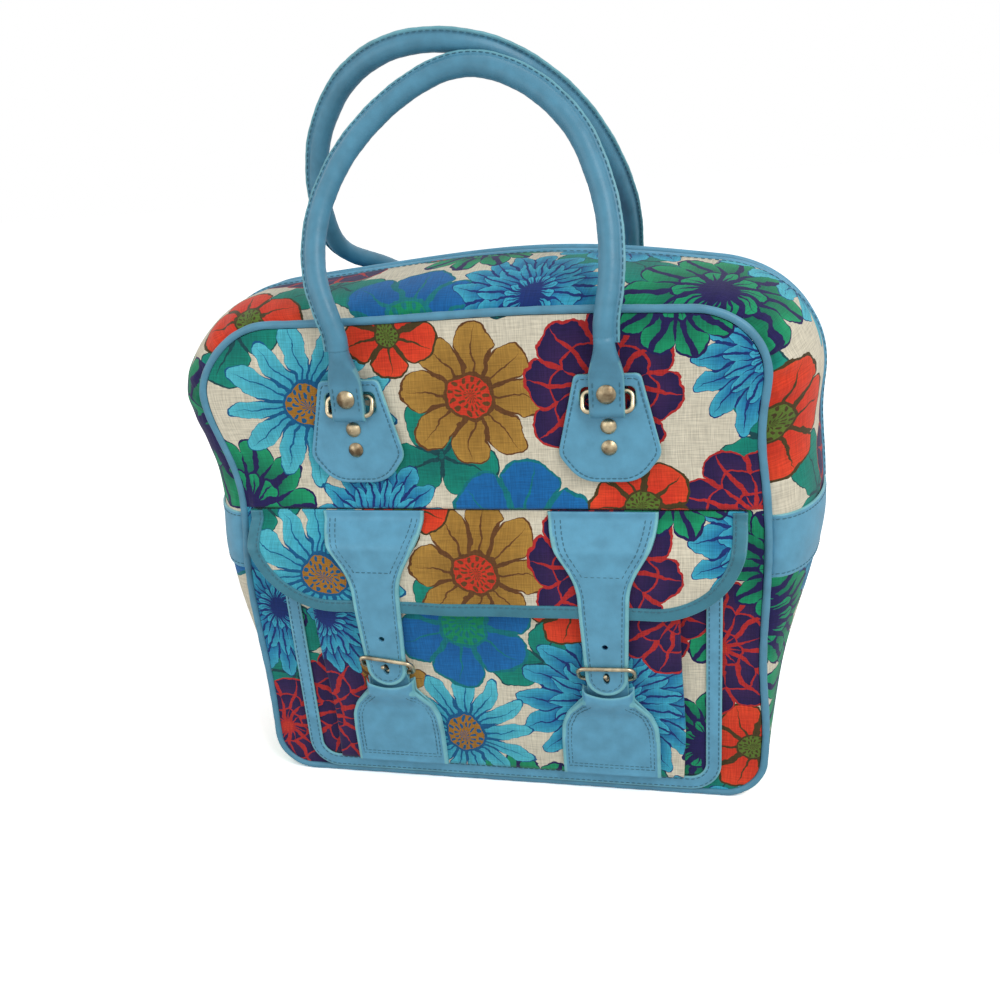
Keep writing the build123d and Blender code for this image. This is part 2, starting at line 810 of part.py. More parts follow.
# Closing straps
def strap_outline(x):
    """Front outline of a closing strap: a trumpet at the seam and a rounded tip."""
    drop = (seam_z - strap_neck_z) * strap_flare_ease
    shoulder_z = strap_tip_z + strap_tip_half
    with BuildSketch(at_depth(-half_depth)) as shape:
        with BuildLine():
            Line((x - strap_root_half, seam_z), (x + strap_root_half, seam_z))
            for side in (-1, 1):
                Bezier(
                    (x + side * strap_root_half, seam_z),
                    (x + side * strap_root_half, seam_z - drop),
                    (x + side * strap_neck_half, strap_neck_z + drop),
                    (x + side * strap_neck_half, strap_neck_z),
                )
                Line(
                    (x + side * strap_neck_half, strap_neck_z),
                    (x + side * strap_tip_half, shoulder_z),
                )
            ThreePointArc(
                (x - strap_tip_half, shoulder_z),
                (x, strap_tip_z),
                (x + strap_tip_half, shoulder_z),
            )
        make_face()
        with Locations((x, strap_spare_hole_z)):
            Circle(strap_hole_radius, mode=Mode.SUBTRACT)
        with Locations((x, prong_hole_z)):
            SlotOverall(prong_slot_length, prong_slot_width, rotation=90, mode=Mode.SUBTRACT)
    return shape.sketch


def strap_side():
    """Side profile of a closing strap, over the flap and down behind the buckle bar."""
    root = seat_gap + flap_thickness + binding_leaf + seat_gap + strap_thickness / 2
    with BuildSketch(Plane.YZ) as profile:
        with BuildLine():
            FilletPolyline(
                (-half_depth - root, seam_z - seat_gap),
                (-half_depth - root, flap_root_z + strap_bend_rise),
                (-half_depth - strap_mid, flap_shoulder_z + strap_bend_rise),
                (-half_depth - strap_mid, flap_bottom_z),
                (-half_depth - strap_heel_mid, buckle_heel_z),
                (-half_depth - strap_tip_mid, strap_tip_z - strap_thickness),
                radius=flap_bend,
            )
        trace(line_width=strap_thickness)
    return profile.sketch


for side, hand in ((-1, "left"), (1, "right")):
    with BuildPart() as strap:
        extrude(strap_side(), amount=panel_width, both=True)
        extrude(strap_outline(side * strap_x), amount=bag_depth, both=True, mode=Mode.INTERSECT)
    save(strap, hand + "_strap")


# Lower tabs: two leaves stitched together, open at the mouth
def lower_tab_outline(x):
    """Front outline of a lower tab, with its concave mouth."""
    with BuildSketch(at_depth(-half_depth)) as shape:
        with BuildLine():
            Line((x - lower_tab_half, lower_tab_bottom_z), (x + lower_tab_half, lower_tab_bottom_z))
            for side in (-1, 1):
                Line(
                    (x + side * lower_tab_half, lower_tab_bottom_z),
                    (x + side * lower_tab_half, lower_tab_wide_z),
                )
                ThreePointArc(
                    (x + side * lower_tab_half, lower_tab_wide_z),
                    (x + side * lower_tab_cheek_half, lower_tab_cheek_z),
                    (x + side * lower_tab_neck_half, lower_tab_neck_z),
                )
                Line(
                    (x + side * lower_tab_neck_half, lower_tab_neck_z),
                    (x + side * lower_tab_neck_half, lower_tab_mouth_z),
                )
            ThreePointArc(
                (x - lower_tab_neck_half, lower_tab_mouth_z),
                (x, lower_tab_mouth_z - lower_tab_mouth_dip),
                (x + lower_tab_neck_half, lower_tab_mouth_z),
            )
        make_face()
    return shape.sketch


def lower_tab_side():
    """Side profile of a lower tab: both leaves from the stitching up to the open mouth."""
    back_foot = pocket_face(lower_tab_bottom_z) + seat_gap
    back_seam = pocket_face(lower_tab_seam_z) + seat_gap
    back_top = pocket_face(lower_tab_mouth_z) + seat_gap
    leaf = lower_tab_leaf
    points = [
        (back_foot, lower_tab_bottom_z),
        (back_top, lower_tab_mouth_z),
        (back_top + leaf, lower_tab_mouth_z),
        (back_seam + leaf, lower_tab_seam_z),
        (mouth_inside, mouth_base_z),
        (mouth_inside, lower_tab_mouth_z),
        (mouth_inside + leaf, lower_tab_mouth_z),
        (mouth_inside + leaf, mouth_base_z - leaf / 2),
        (back_seam + 2 * leaf, lower_tab_seam_z - leaf),
        (back_foot + 2 * leaf, lower_tab_bottom_z),
    ]
    with BuildSketch(Plane.YZ) as profile:
        with BuildLine():
            Polyline(*[(-half_depth - u, z) for u, z in points], close=True)
        make_face()
    return profile.sketch


for side, hand in ((-1, "left"), (1, "right")):
    with BuildPart() as lower_tab:
        extrude(lower_tab_side(), amount=panel_width, both=True)
        extrude(lower_tab_outline(side * strap_x), amount=bag_depth, both=True,
                mode=Mode.INTERSECT)
    save(lower_tab, hand + "_lower_tab")

# Buckles: frame, prong and the short chape that holds the heel bar in the mouth
heel_y = -half_depth - heel_reach
bar_y = -half_depth - bar_reach
frame_up = Vector(0, bar_y - heel_y, buckle_bar_z - buckle_heel_z)
prong_out = Vector(0, -cos(radians(prong_lift)), sin(radians(prong_lift)))
eye_radius = buckle_wire + seat_gap + prong_eye_wall

for side, hand in ((-1, "left"), (1, "right")):
    x = side * strap_x
    with BuildPart() as buckle_frame:
        wire_ring((x, heel_y, buckle_heel_z), frame_up, buckle_width, frame_up.length, buckle_wire,
                  buckle_corner)
    save(buckle_frame, hand + "_buckle_frame")

    with BuildPart() as prong:
        with BuildSketch(Plane.YZ.offset(x)):
            with Locations((heel_y, buckle_heel_z)):
                Circle(eye_radius)
        extrude(amount=prong_eye_width / 2, both=True)
        arm = Vector(x, heel_y, buckle_heel_z) + prong_out * (eye_radius - prong_eye_wall / 2)
        with BuildSketch(Plane(origin=arm, z_dir=prong_out)):
            Circle(prong_radius)
        extrude(amount=prong_length)
        tip_edge = prong.edges().filter_by(GeomType.CIRCLE).sort_by(Axis.Y)[0]
        fillet(tip_edge, prong_tip_round)
        with BuildSketch(Plane.YZ.offset(x)):
            with Locations((heel_y, buckle_heel_z)):
                Circle(buckle_wire + seat_gap)
        extrude(amount=prong_eye_width, both=True, mode=Mode.SUBTRACT)
    save(prong, hand + "_prong")

    with BuildPart() as buckle_chape:
        chape_rear = pocket_face(lower_tab_mouth_z) + lower_tab_leaf + 2 * seat_gap
        with BuildSketch(Plane.YZ.offset(x)):
            with Locations((heel_y, buckle_heel_z)):
                Circle(buckle_loop_radius)
            with Locations((-half_depth - chape_rear, buckle_chape_bottom_z)):
                Rectangle(2 * buckle_chape_layer, buckle_heel_z - buckle_chape_bottom_z,
                          align=(Align.MAX, Align.MIN))
            with Locations((heel_y, buckle_heel_z)):
                Circle(buckle_wire + seat_gap, mode=Mode.SUBTRACT)
        extrude(amount=buckle_chape_width / 2, both=True)
        with BuildSketch(at_depth(-half_depth)):
            with Locations((x, buckle_heel_z)):
                Rectangle(buckle_chape_slot, 2 * buckle_loop_radius)
        extrude(amount=bag_depth, both=True, mode=Mode.SUBTRACT)
    save(buckle_chape, hand + "_buckle_chape")
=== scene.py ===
import math

import bpy
import numpy as np
from mathutils import Matrix


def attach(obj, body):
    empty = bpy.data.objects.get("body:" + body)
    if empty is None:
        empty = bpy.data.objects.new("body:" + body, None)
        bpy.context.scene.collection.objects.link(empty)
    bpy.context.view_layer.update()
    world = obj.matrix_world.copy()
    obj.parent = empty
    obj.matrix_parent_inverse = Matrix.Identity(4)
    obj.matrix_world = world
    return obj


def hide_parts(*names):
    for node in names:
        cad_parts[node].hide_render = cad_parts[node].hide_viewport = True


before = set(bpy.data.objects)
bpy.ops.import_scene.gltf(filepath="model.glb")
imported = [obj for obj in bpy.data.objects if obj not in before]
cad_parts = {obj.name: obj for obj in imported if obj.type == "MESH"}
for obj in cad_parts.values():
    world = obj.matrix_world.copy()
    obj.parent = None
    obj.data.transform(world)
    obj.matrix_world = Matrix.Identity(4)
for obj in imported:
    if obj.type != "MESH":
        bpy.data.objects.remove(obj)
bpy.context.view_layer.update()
scene = bpy.context.scene
scene.view_settings.view_transform = "Standard"


# Camera: where the photographer stood, a little above the bag and to its right.
# The place, the turn and the lens were fitted to the panel's outline, the rings and the handles.
camera_place = (0.1465, -0.6595, 0.4464)
camera_turn = math.radians(-13.42)
camera_dip = math.radians(20.65)
camera_roll = math.radians(-4.62)
camera_lens = 34.2

forward = np.array([
    math.sin(camera_turn) * math.cos(camera_dip),
    math.cos(camera_turn) * math.cos(camera_dip),
    -math.sin(camera_dip),
])
level = np.array([math.cos(camera_turn), -math.sin(camera_turn), 0])
rise = np.cross(level, forward)
right = level * math.cos(camera_roll) + rise * math.sin(camera_roll)
rise = rise * math.cos(camera_roll) - level * math.sin(camera_roll)
camera = bpy.data.objects.new("camera", bpy.data.cameras.new("camera"))
camera.data.lens = camera_lens
camera.data.sensor_width = 36
camera.data.clip_start = 0.01
camera.matrix_world = Matrix([
    [*axis, place]
    for axis, place in zip(np.array([right, rise, -forward]).T, camera_place)
] + [[0, 0, 0, 1]])
scene.collection.objects.link(camera)
scene.camera = camera


# Studio: a white floor and surround, with soft window-like light from the upper left.
# The surround is white to the eye and to mirrors, and only moderately bright as a light.
def put(tree, kind, sockets=None, **settings):
    """Adds a node. sockets maps an input's name or number to a value or to another node's output."""
    made = tree.nodes.new(kind)
    for key, value in settings.items():
        setattr(made, key, value)
    for key, value in (sockets or {}).items():
        if isinstance(value, bpy.types.NodeSocket):
            tree.links.new(value, made.inputs[key])
        else:
            made.inputs[key].default_value = value
    return made


def calc(tree, operation, *values):
    """One Math node; its value."""
    return put(tree, "ShaderNodeMath", dict(enumerate(values)), operation=operation).outputs[0]


def srgb(red, green, blue):
    """A colour written as 0 to 255 on screen, as the linear colour that a shader takes."""
    share = np.array([red, green, blue]) / 255
    linear = np.where(share <= 0.04045, share / 12.92, ((share + 0.055) / 1.055) ** 2.4)
    return (*linear.tolist(), 1)


def new_material(name):
    """A new material, its node tree and its surface shader."""
    made = bpy.data.materials.new(name)
    made.use_nodes = True
    return made, made.node_tree, made.node_tree.nodes["Principled BSDF"]


def blend_colour(tree, share, first, second, kind="MIX"):
    """Mixes two colours by a share."""
    mixed = put(tree, "ShaderNodeMix", data_type="RGBA", blend_type=kind)
    for key, value in ((0, share), (6, first), (7, second)):
        if isinstance(value, bpy.types.NodeSocket):
            tree.links.new(value, mixed.inputs[key])
        else:
            mixed.inputs[key].default_value = value
    return mixed.outputs[2]


def dim(tree, colour, by):
    """A colour times a number."""
    grey = put(tree, "ShaderNodeCombineColor", {0: by, 1: by, 2: by}).outputs[0]
    return blend_colour(tree, 1.0, colour, grey, "MULTIPLY")


world = bpy.data.worlds.new("studio")
scene.world = world
world.use_nodes = True
air = world.node_tree
air.nodes.clear()
seen = put(air, "ShaderNodeLightPath")
seen = calc(air, "MAXIMUM", seen.outputs["Is Camera Ray"], calc(
    air, "MAXIMUM", seen.outputs["Is Glossy Ray"], seen.outputs["Is Transmission Ray"]))
glow = put(air, "ShaderNodeBackground", {
    "Color": (1, 1, 1, 1),
    "Strength": put(air, "ShaderNodeMapRange", {"Value": seen, "To Min": 0.55, "To Max": 1}).outputs[0],
})
put(air, "ShaderNodeOutputWorld", {"Surface": glow.outputs[0]})


def lamp(name, place, aim, size, power):
    """A square soft lamp at place, turned to face aim."""
    light = bpy.data.lights.new(name, "AREA")
    light.size = size
    light.energy = power
    holder = bpy.data.objects.new(name, light)
    away = np.array(place, float) - np.array(aim, float)
    away /= np.linalg.norm(away)
    side = np.cross((0, 0, 1), away)
    side /= np.linalg.norm(side)
    turn = np.array([side, np.cross(away, side), away]).T
    holder.matrix_world = Matrix([[*turn[i], place[i]] for i in range(3)] + [[0, 0, 0, 1]])
    scene.collection.objects.link(holder)


lamp("window_light", (1.1, -1.0, 1.5), (0, 0, 0.25), 0.9, 13.5)
lamp("fill_light", (-1.3, -1.2, 0.8), (0, 0, 0.2), 1.2, 4.5)

floor_mesh = bpy.data.meshes.new("floor")
floor_mesh.from_pydata([(-9, -9, 0), (9, -9, 0), (9, 9, 0), (-9, 9, 0)], [], [(0, 1, 2, 3)])
floor = bpy.data.objects.new("floor", floor_mesh)
scene.collection.objects.link(floor)
floor_paint, tree, surface = new_material("floor")
tree.nodes.remove(surface)
seen = put(tree, "ShaderNodeLightPath").outputs["Is Camera Ray"]
paint = blend_colour(tree, seen, (0.8, 0.8, 0.8, 1), (2.1, 2.1, 2.1, 1))
paint = put(tree, "ShaderNodeBsdfDiffuse", {"Color": paint})
tree.links.new(paint.outputs[0], tree.nodes["Material Output"].inputs["Surface"])
floor_mesh.materials.append(floor_paint)


# Printed cloth: heavy linen with a slubbed weave and a large print of mixed flowers.
# Each flower is drawn by one shader group on the cloth's own map, in millimetres, and the print repeats.
repeat = (330, 300)
cream = srgb(222, 214, 192)


def new_group(name, takes, gives):
    """A shader node group with named inputs and outputs; returns it with its two end nodes."""
    group = bpy.data.node_groups.new(name, "ShaderNodeTree")
    for label, kind in takes:
        group.interface.new_socket(label, in_out="INPUT", socket_type="NodeSocket" + kind)
    for label, kind in gives:
        group.interface.new_socket(label, in_out="OUTPUT", socket_type="NodeSocket" + kind)
    return group, group.nodes.new("NodeGroupInput").outputs, group.nodes.new("NodeGroupOutput")


blossom, given, out = new_group("blossom", (
    ("Cloth", "Vector"), ("Under", "Color"), ("Centre", "Vector"), ("Radius", "Float"),
    ("Turn", "Float"), ("Petals", "Float"), ("Notch", "Float"), ("Roundness", "Float"),
    ("Rows", "Float"), ("Petal", "Color"), ("Tip", "Color"), ("Line", "Color"),
    ("Heart", "Color"), ("Heart Size", "Float"), ("Line Width", "Float"),
), (("Color", "Color"),))


def maths(operation, *values):
    """One Math node of the flower; its value."""
    return calc(blossom, operation, *values)


def tint(share, first, second):
    """Mixes two of the flower's colours by a share."""
    return blend_colour(blossom, share, first, second)


# The place on the flower: distance from its centre in radii, and the angle round it
off = put(blossom, "ShaderNodeVectorMath", {0: given["Cloth"], 1: given["Centre"]}, operation="SUBTRACT")
off = put(blossom, "ShaderNodeVectorMath", {
    0: off.outputs[0],
    1: (repeat[0] / 2, repeat[1] / 2, 1),
    2: (-repeat[0] / 2, -repeat[1] / 2, -1),
}, operation="WRAP")
parts = put(blossom, "ShaderNodeSeparateXYZ", {0: off.outputs[0]})
angle = maths("ADD", maths("ARCTAN2", parts.outputs[1], parts.outputs[0]), given["Turn"])
reach = put(blossom, "ShaderNodeVectorMath", {0: off.outputs[0]}, operation="LENGTH").outputs["Value"]
share = maths("DIVIDE", reach, given["Radius"])
half_turn = maths("MULTIPLY", angle, maths("MULTIPLY", given["Petals"], 0.5))
# Rounded petal ends: the edge dips at each notch between two petals
crest = maths("ABSOLUTE", maths("COSINE", half_turn))
crest = maths("POWER", crest, given["Roundness"])
edge = maths("SUBTRACT", 1, maths("MULTIPLY", given["Notch"], maths("SUBTRACT", 1, crest)))
inward = maths("DIVIDE", share, edge)
row = maths("MULTIPLY", inward, given["Rows"])
along = maths("FRACT", row)
# Every second row of petals is turned by half a petal
shift = maths("MULTIPLY", maths("MODULO", maths("FLOOR", row), 2), math.pi / 2)
spoke = maths("ADD", half_turn, shift)
pitch = maths("DIVIDE", maths("MULTIPLY", reach, 2), given["Petals"])
notch_gap = maths("MULTIPLY", maths("ABSOLUTE", maths("COSINE", spoke)), pitch)
rib_gap = maths("MULTIPLY", maths("ABSOLUTE", maths("SINE", spoke)), pitch)
row_depth = maths("DIVIDE", given["Radius"], given["Rows"])
rim_gap = maths("MULTIPLY", maths("SUBTRACT", 1, along), row_depth)
on_notch = maths("LESS_THAN", notch_gap, given["Line Width"])
on_rim = maths("LESS_THAN", rim_gap, given["Line Width"])
rib_width = maths("MULTIPLY", given["Line Width"], maths("SUBTRACT", 0.95, along))
on_rib = maths("LESS_THAN", rib_gap, rib_width)
inked = maths("MAXIMUM", maths("MAXIMUM", on_notch, on_rim), on_rib)
petal = tint(along, given["Petal"], given["Tip"])
petal = tint(inked, petal, given["Line"])
# The heart: a disc with a ring of seeds in the line colour
heart_share = maths("DIVIDE", share, given["Heart Size"])
seeds = maths("SINE", maths("MULTIPLY", angle, 13))
seeds = maths("MULTIPLY", seeds, maths("SINE", maths("MULTIPLY", heart_share, 11)))
seeds = maths("GREATER_THAN", seeds, 0.25)
heart_rim = maths("GREATER_THAN", heart_share, 0.86)
heart = tint(maths("MAXIMUM", seeds, heart_rim), given["Heart"], given["Line"])
petal = tint(maths("LESS_THAN", heart_share, 1), petal, heart)
inside = maths("LESS_THAN", inward, 1)
blossom.links.new(tint(inside, given["Under"], petal), out.inputs[0])

kinds = {
    "aster": dict(petals=17, notch=0.24, roundness=1.1, rows=3, petal=srgb(28, 118, 168),
                  tip=srgb(66, 178, 204), line=srgb(24, 50, 116), heart=srgb(24, 50, 116),
                  heart_size=0.1, line_width=0.62),
    "daisy": dict(petals=13, notch=0.5, roundness=0.9, rows=1, petal=srgb(28, 140, 178),
                  tip=srgb(88, 196, 212), line=srgb(14, 92, 140), heart=srgb(168, 116, 40),
                  heart_size=0.3, line_width=1.0),
    "dahlia": dict(petals=11, notch=0.26, roundness=0.6, rows=2, petal=srgb(10, 112, 84),
                   tip=srgb(26, 160, 108), line=srgb(34, 28, 86), heart=srgb(34, 28, 86),
                   heart_size=0.16, line_width=1.5),
    "rose": dict(petals=8, notch=0.16, roundness=0.6, rows=3, petal=srgb(58, 34, 84),
                 tip=srgb(34, 24, 74), line=srgb(186, 44, 44), heart=srgb(206, 58, 40),
                 heart_size=0.12, line_width=1.2),
    "poppy": dict(petals=5, notch=0.3, roundness=0.45, rows=1, petal=srgb(206, 44, 30),
                  tip=srgb(232, 72, 40), line=srgb(74, 60, 30), heart=srgb(92, 118, 44),
                  heart_size=0.3, line_width=1.4),
    "ochre": dict(petals=8, notch=0.38, roundness=0.55, rows=1, petal=srgb(140, 100, 36),
                  tip=srgb(182, 138, 62), line=srgb(104, 66, 34), heart=srgb(210, 58, 36),
                  heart_size=0.34, line_width=1.1),
    "mallow": dict(petals=6, notch=0.24, roundness=0.5, rows=1, petal=srgb(14, 86, 150),
                   tip=srgb(24, 110, 176), line=srgb(10, 120, 128), heart=srgb(16, 140, 96),
                   heart_size=0.36, line_width=1.6),
    "leaf": dict(petals=3, notch=0.62, roundness=0.8, rows=1, petal=srgb(8, 112, 104),
                 tip=srgb(16, 142, 122), line=srgb(20, 74, 80), heart=srgb(8, 112, 104),
                 heart_size=0.05, line_width=1.0),
}
# Kind, place in the repeat, radius and turn of every flower, the lowest layer first
bed = (
    ("leaf", 66, 66, 34, 0.4), ("leaf", 160, 20, 30, 1.4), ("leaf", 246, 78, 34, 2.2),
    ("leaf", 40, 148, 32, 0.9), ("leaf", 214, 152, 30, 3.0), ("leaf", 128, 220, 34, 2.6),
    ("leaf", 300, 226, 36, 0.2), ("leaf", 24, 286, 30, 1.9), ("ochre", 118, 132, 30, 0.5),
    ("mallow", 22, 30, 42, 0.3), ("dahlia", 196, 46, 46, 0.1), ("rose", 76, 112, 44, 0.6),
    ("aster", 250, 128, 54, 0.2), ("poppy", 114, 38, 32, 0.9), ("daisy", 164, 104, 42, 0.4),
    ("aster", 288, 40, 42, 0.2), ("dahlia", 322, 100, 34, 0.2), ("dahlia", 12, 188, 44, 0.5),
    ("aster", 92, 178, 40, 0.1), ("mallow", 170, 176, 40, 0.7), ("rose", 288, 186, 38, 0.3),
    ("poppy", 232, 192, 28, 0.6), ("daisy", 62, 246, 46, 0.2), ("ochre", 148, 250, 38, 0.1),
    ("rose", 214, 252, 40, 0.9), ("aster", 298, 268, 44, 0.5), ("poppy", 108, 284, 25, 0.4),
    ("dahlia", 250, 300, 34, 0.8), ("poppy", 20, 110, 22, 0.8),
)

printing, given, out = new_group("printed_linen", (("Cloth", "Vector"),), (
    ("Color", "Color"), ("Height", "Float")))
wobble = put(printing, "ShaderNodeTexNoise", {"Vector": given["Cloth"], "Scale": 0.05, "Detail": 4.0})
wobble = put(printing, "ShaderNodeVectorMath", {
    0: wobble.outputs["Color"], 1: (0.5, 0.5, 0.5)}, operation="SUBTRACT")
wobble = put(printing, "ShaderNodeVectorMath", {0: wobble.outputs[0], 3: 13.0}, operation="SCALE")
drawn = put(printing, "ShaderNodeVectorMath", {
    0: given["Cloth"], 1: wobble.outputs[0]}, operation="ADD").outputs[0]
drawn = put(printing, "ShaderNodeVectorMath", {0: drawn, 1: (1, 1, 0)}, operation="MULTIPLY").outputs[0]
ink = cream
for kind, x, y, radius, turn in bed:
    flower = put(printing, "ShaderNodeGroup", node_tree=blossom)
    printing.links.new(drawn, flower.inputs["Cloth"])
    if isinstance(ink, bpy.types.NodeSocket):
        printing.links.new(ink, flower.inputs["Under"])
    else:
        flower.inputs["Under"].default_value = ink
    flower.inputs["Centre"].default_value = (x, y, 0)
    flower.inputs["Radius"].default_value = radius
    flower.inputs["Turn"].default_value = turn
    for key, value in kinds[kind].items():
        flower.inputs[key.replace("_", " ").title()].default_value = value
    ink = flower.outputs[0]
# Threads of the weave, thick and thin, that show through the ink
threads = []
for stretch in ((1.5, 0.09, 0), (0.09, 1.5, 0)):
    run = put(printing, "ShaderNodeVectorMath", {0: given["Cloth"], 1: stretch}, operation="MULTIPLY")
    slub = put(printing, "ShaderNodeTexNoise", {"Vector": run.outputs[0], "Scale": 1.0, "Detail": 2.0})
    threads.append(slub.outputs[0])
weave = calc(printing, "ADD", *threads)
shade = put(printing, "ShaderNodeMapRange", {
    "Value": weave, "From Min": 0.7, "From Max": 1.3, "To Min": 0.74, "To Max": 1.2}).outputs[0]
printing.links.new(dim(printing, ink, shade), out.inputs[0])
printing.links.new(weave, out.inputs[1])

linen, tree, surface = new_material("printed linen")
cloth_map = put(tree, "ShaderNodeUVMap", uv_map="cloth")
cloth_map = put(tree, "ShaderNodeVectorMath", {0: cloth_map.outputs[0], 3: 790.0}, operation="SCALE")
print_node = put(tree, "ShaderNodeGroup", {"Cloth": cloth_map.outputs[0]}, node_tree=printing)
bump = put(tree, "ShaderNodeBump", {
    "Height": print_node.outputs["Height"], "Strength": 0.5, "Distance": 0.0004})
tree.links.new(print_node.outputs["Color"], surface.inputs["Base Color"])
tree.links.new(bump.outputs[0], surface.inputs["Normal"])
surface.inputs["Roughness"].default_value = 0.85
surface.inputs["Specular IOR Level"].default_value = 0.25
surface.inputs["Sheen Weight"].default_value = 0.12


# Bag body: one long strip of the printed cloth round the bottom and sides, and two along the zip.
# The strips swell out between the panels and are sewn into the piping at both edges.
panel_half = 181
panel_top = 349
gusset_edge = 83.8
swell_side = 41
swell_foot = 8
swell_top = 26
bend_z = 205
zip_end = 194
wall = 2.4
foot_radius, corner_radius = 26, 48
panel_foot = 2.8
panel_lean, swell_lean = 1.5, 6.5


def ramp(value):
    """The value itself between 0 and 1, and those limits outside."""
    return np.clip(value, 0, 1)


def bell(value, middle, width, power=2):
    """1 at the middle, falling smoothly to 0 on both sides; a higher power makes it flat-topped."""
    return np.exp(-((value - middle) / width) ** power)


def cubic(step, *controls):
    """A cubic curve through its first and last control, at steps from 0 to 1."""
    weights = np.array([(1 - step) ** 3, 3 * step * (1 - step) ** 2, 3 * step ** 2 * (1 - step), step ** 3])
    return np.array(controls) @ weights


def bag_outline(swell, grow, bottom, count=40):
    """Points of the bag's outline at a given swell, 0 at the panels and 1 midway.

    Bottom line, foot arcs, curved sides, straight sides, corner arcs and a flat crown arc,
    each with its own number of points, so outlines at different swells match point for point.
    """
    half = panel_half + swell_side * swell
    foot = panel_half + swell_foot * swell
    corner = corner_radius + 32 * swell
    lean = np.radians(panel_lean + swell_lean * swell)
    crown = corner + (half - corner) / np.sin(lean)
    crown_z = panel_top + swell_top * swell - crown
    shoulder = crown_z + (crown - corner) * np.cos(lean)
    knee = bottom + foot_radius
    foot_middle = foot - foot_radius
    step = np.linspace(0, 1, count)[:-1]
    foot_turn = np.radians(-90 + 90 * step)
    pull = (bend_z - knee) / 3
    side_x = cubic(step, foot + grow, foot + grow, half + grow, half + grow)
    side_z = cubic(step, knee, knee + pull, bend_z - pull, bend_z)
    corner_turn = (np.pi / 2 - lean) * step
    crown_turn = np.pi / 2 - lean + 2 * lean * np.linspace(0, 1, 2 * count)[: count]
    x = np.concatenate([
        foot_middle * step, foot_middle + (foot_radius + grow) * np.cos(foot_turn), side_x,
        np.full(count - 1, half + grow), half - corner + (corner + grow) * np.cos(corner_turn),
        (crown + grow) * np.cos(crown_turn),
    ])
    z = np.concatenate([
        np.full(count - 1, bottom - grow), knee + (foot_radius + grow) * np.sin(foot_turn), side_z,
        bend_z + (shoulder - bend_z) * step, shoulder + (corner + grow) * np.sin(corner_turn),
        crown_z + (crown + grow) * np.sin(crown_turn),
    ])
    return x, z


def walk_of(line):
    """How far along an open line each of its points lies."""
    return np.concatenate([[0], np.cumsum(np.linalg.norm(np.diff(line, axis=0), axis=1))])


def look_up(at, walk, columns):
    """The rows of a table that belong to the distances at, between the known distances walk."""
    return np.stack([np.interp(at, walk, column) for column in columns.T], 1)


def resample(points, count):
    """The same open line with count points at even steps along it."""
    walk = walk_of(points)
    return look_up(np.linspace(0, walk[-1], count), walk, points)


def unit(vectors):
    """The same vectors, each one unit long."""
    return vectors / np.linalg.norm(vectors, axis=-1, keepdims=True)


def slump(points):
    """The way the soft body has settled, added to points in millimetres.

    A push shaped like a bell moves the upper left corner out, smaller ones pinch and fill the sides,
    and slow waves take the stiffness out of straight edges. The floor stays where it is, and the
    left side stays straight beside the zip, where the slider runs.
    """
    x, y, z = points[..., 0], points[..., 1], points[..., 2]
    moved = points.astype(float).copy()
    front = np.clip(0.75 - y / 350, 0.45, 1)
    by_zip = bell(y, 0, 24) * (x < 0)
    left = ramp(-x / 181) ** 3 * (1 - by_zip)
    right = ramp(x / 181) ** 3
    moved[..., 0] -= 9.5 * left * bell(z, 296, 34) * front
    moved[..., 0] += 4.5 * left * bell(z, 225, 40) * front
    moved[..., 0] -= 3.5 * right * bell(z, 268, 32) * front
    moved[..., 0] += 2.5 * right * bell(z, 60, 40)
    lift = ramp(z / 60)
    edge = ramp(np.abs(x) / 181) ** 2 * (1 - by_zip)
    moved[..., 0] += 1.1 * lift * edge * np.sin(z / 27 + np.sign(x)) * front
    high = ramp((z - 300) / 60)
    moved[..., 2] += high * (1.4 * np.sin(x / 41 + 0.6) - 0.8 + 1.2 * np.sin(x / 90 + y / 60))
    return moved


def normals_of(grid):
    """Unit normals of a grid of points, from the cross product of its two directions."""
    across = np.cross(np.gradient(grid, axis=0), np.gradient(grid, axis=1))
    return across / np.maximum(np.linalg.norm(across, axis=2, keepdims=True), 1e-9)


def add_piece(name, points, faces, rim=None):
    """A smooth piece from points in millimetres and faces; rim is a mask kept for its edges."""
    made = bpy.data.meshes.new(name)
    made.from_pydata((points.reshape(-1, 3) / 1000).tolist(), [], faces)
    if rim is not None:
        mask = rim.astype(np.float32).ravel()
        made.attributes.new("rim", "FLOAT", "POINT").data.foreach_set("value", mask)
    made.shade_smooth()
    piece = bpy.data.objects.new(name, made)
    scene.collection.objects.link(piece)
    return piece


def shell(name, outer, inner, cloth=None, around=False, rim=None):
    """A closed piece from two grids of points in millimetres, joined along their borders.

    Row i, column j of both grids belong together. around closes the first direction on itself.
    cloth is the flat place of each point for the print, and rim a mask kept for the edges.
    """
    rows, columns = outer.shape[:2]
    index = np.arange(rows * columns).reshape(rows, columns)
    if around:
        index = np.vstack([index, index[:1]])
    a, b, c, d = index[:-1, :-1], index[1:, :-1], index[1:, 1:], index[:-1, 1:]
    front = np.stack([a, b, c, d], -1).reshape(-1, 4)
    back = front[:, ::-1] + rows * columns
    walls = [index[:, 0], index[::-1, -1]]
    if not around:
        walls += [index[0, ::-1], index[-1]]
    sides = [np.stack([w[1:], w[:-1], w[:-1] + rows * columns, w[1:] + rows * columns], -1) for w in walls]
    faces = np.concatenate([front, back, *sides])
    rim = None if rim is None else np.stack([rim, rim])
    piece = add_piece(name, np.stack([outer, inner]), faces.tolist(), rim)
    if cloth is not None:
        flat = np.concatenate([cloth.reshape(-1, 2)] * 2)[faces.ravel()] / 1000
        piece.data.uv_layers.new(name="cloth").data.foreach_set("uv", flat.astype(np.float32).ravel())
    return piece


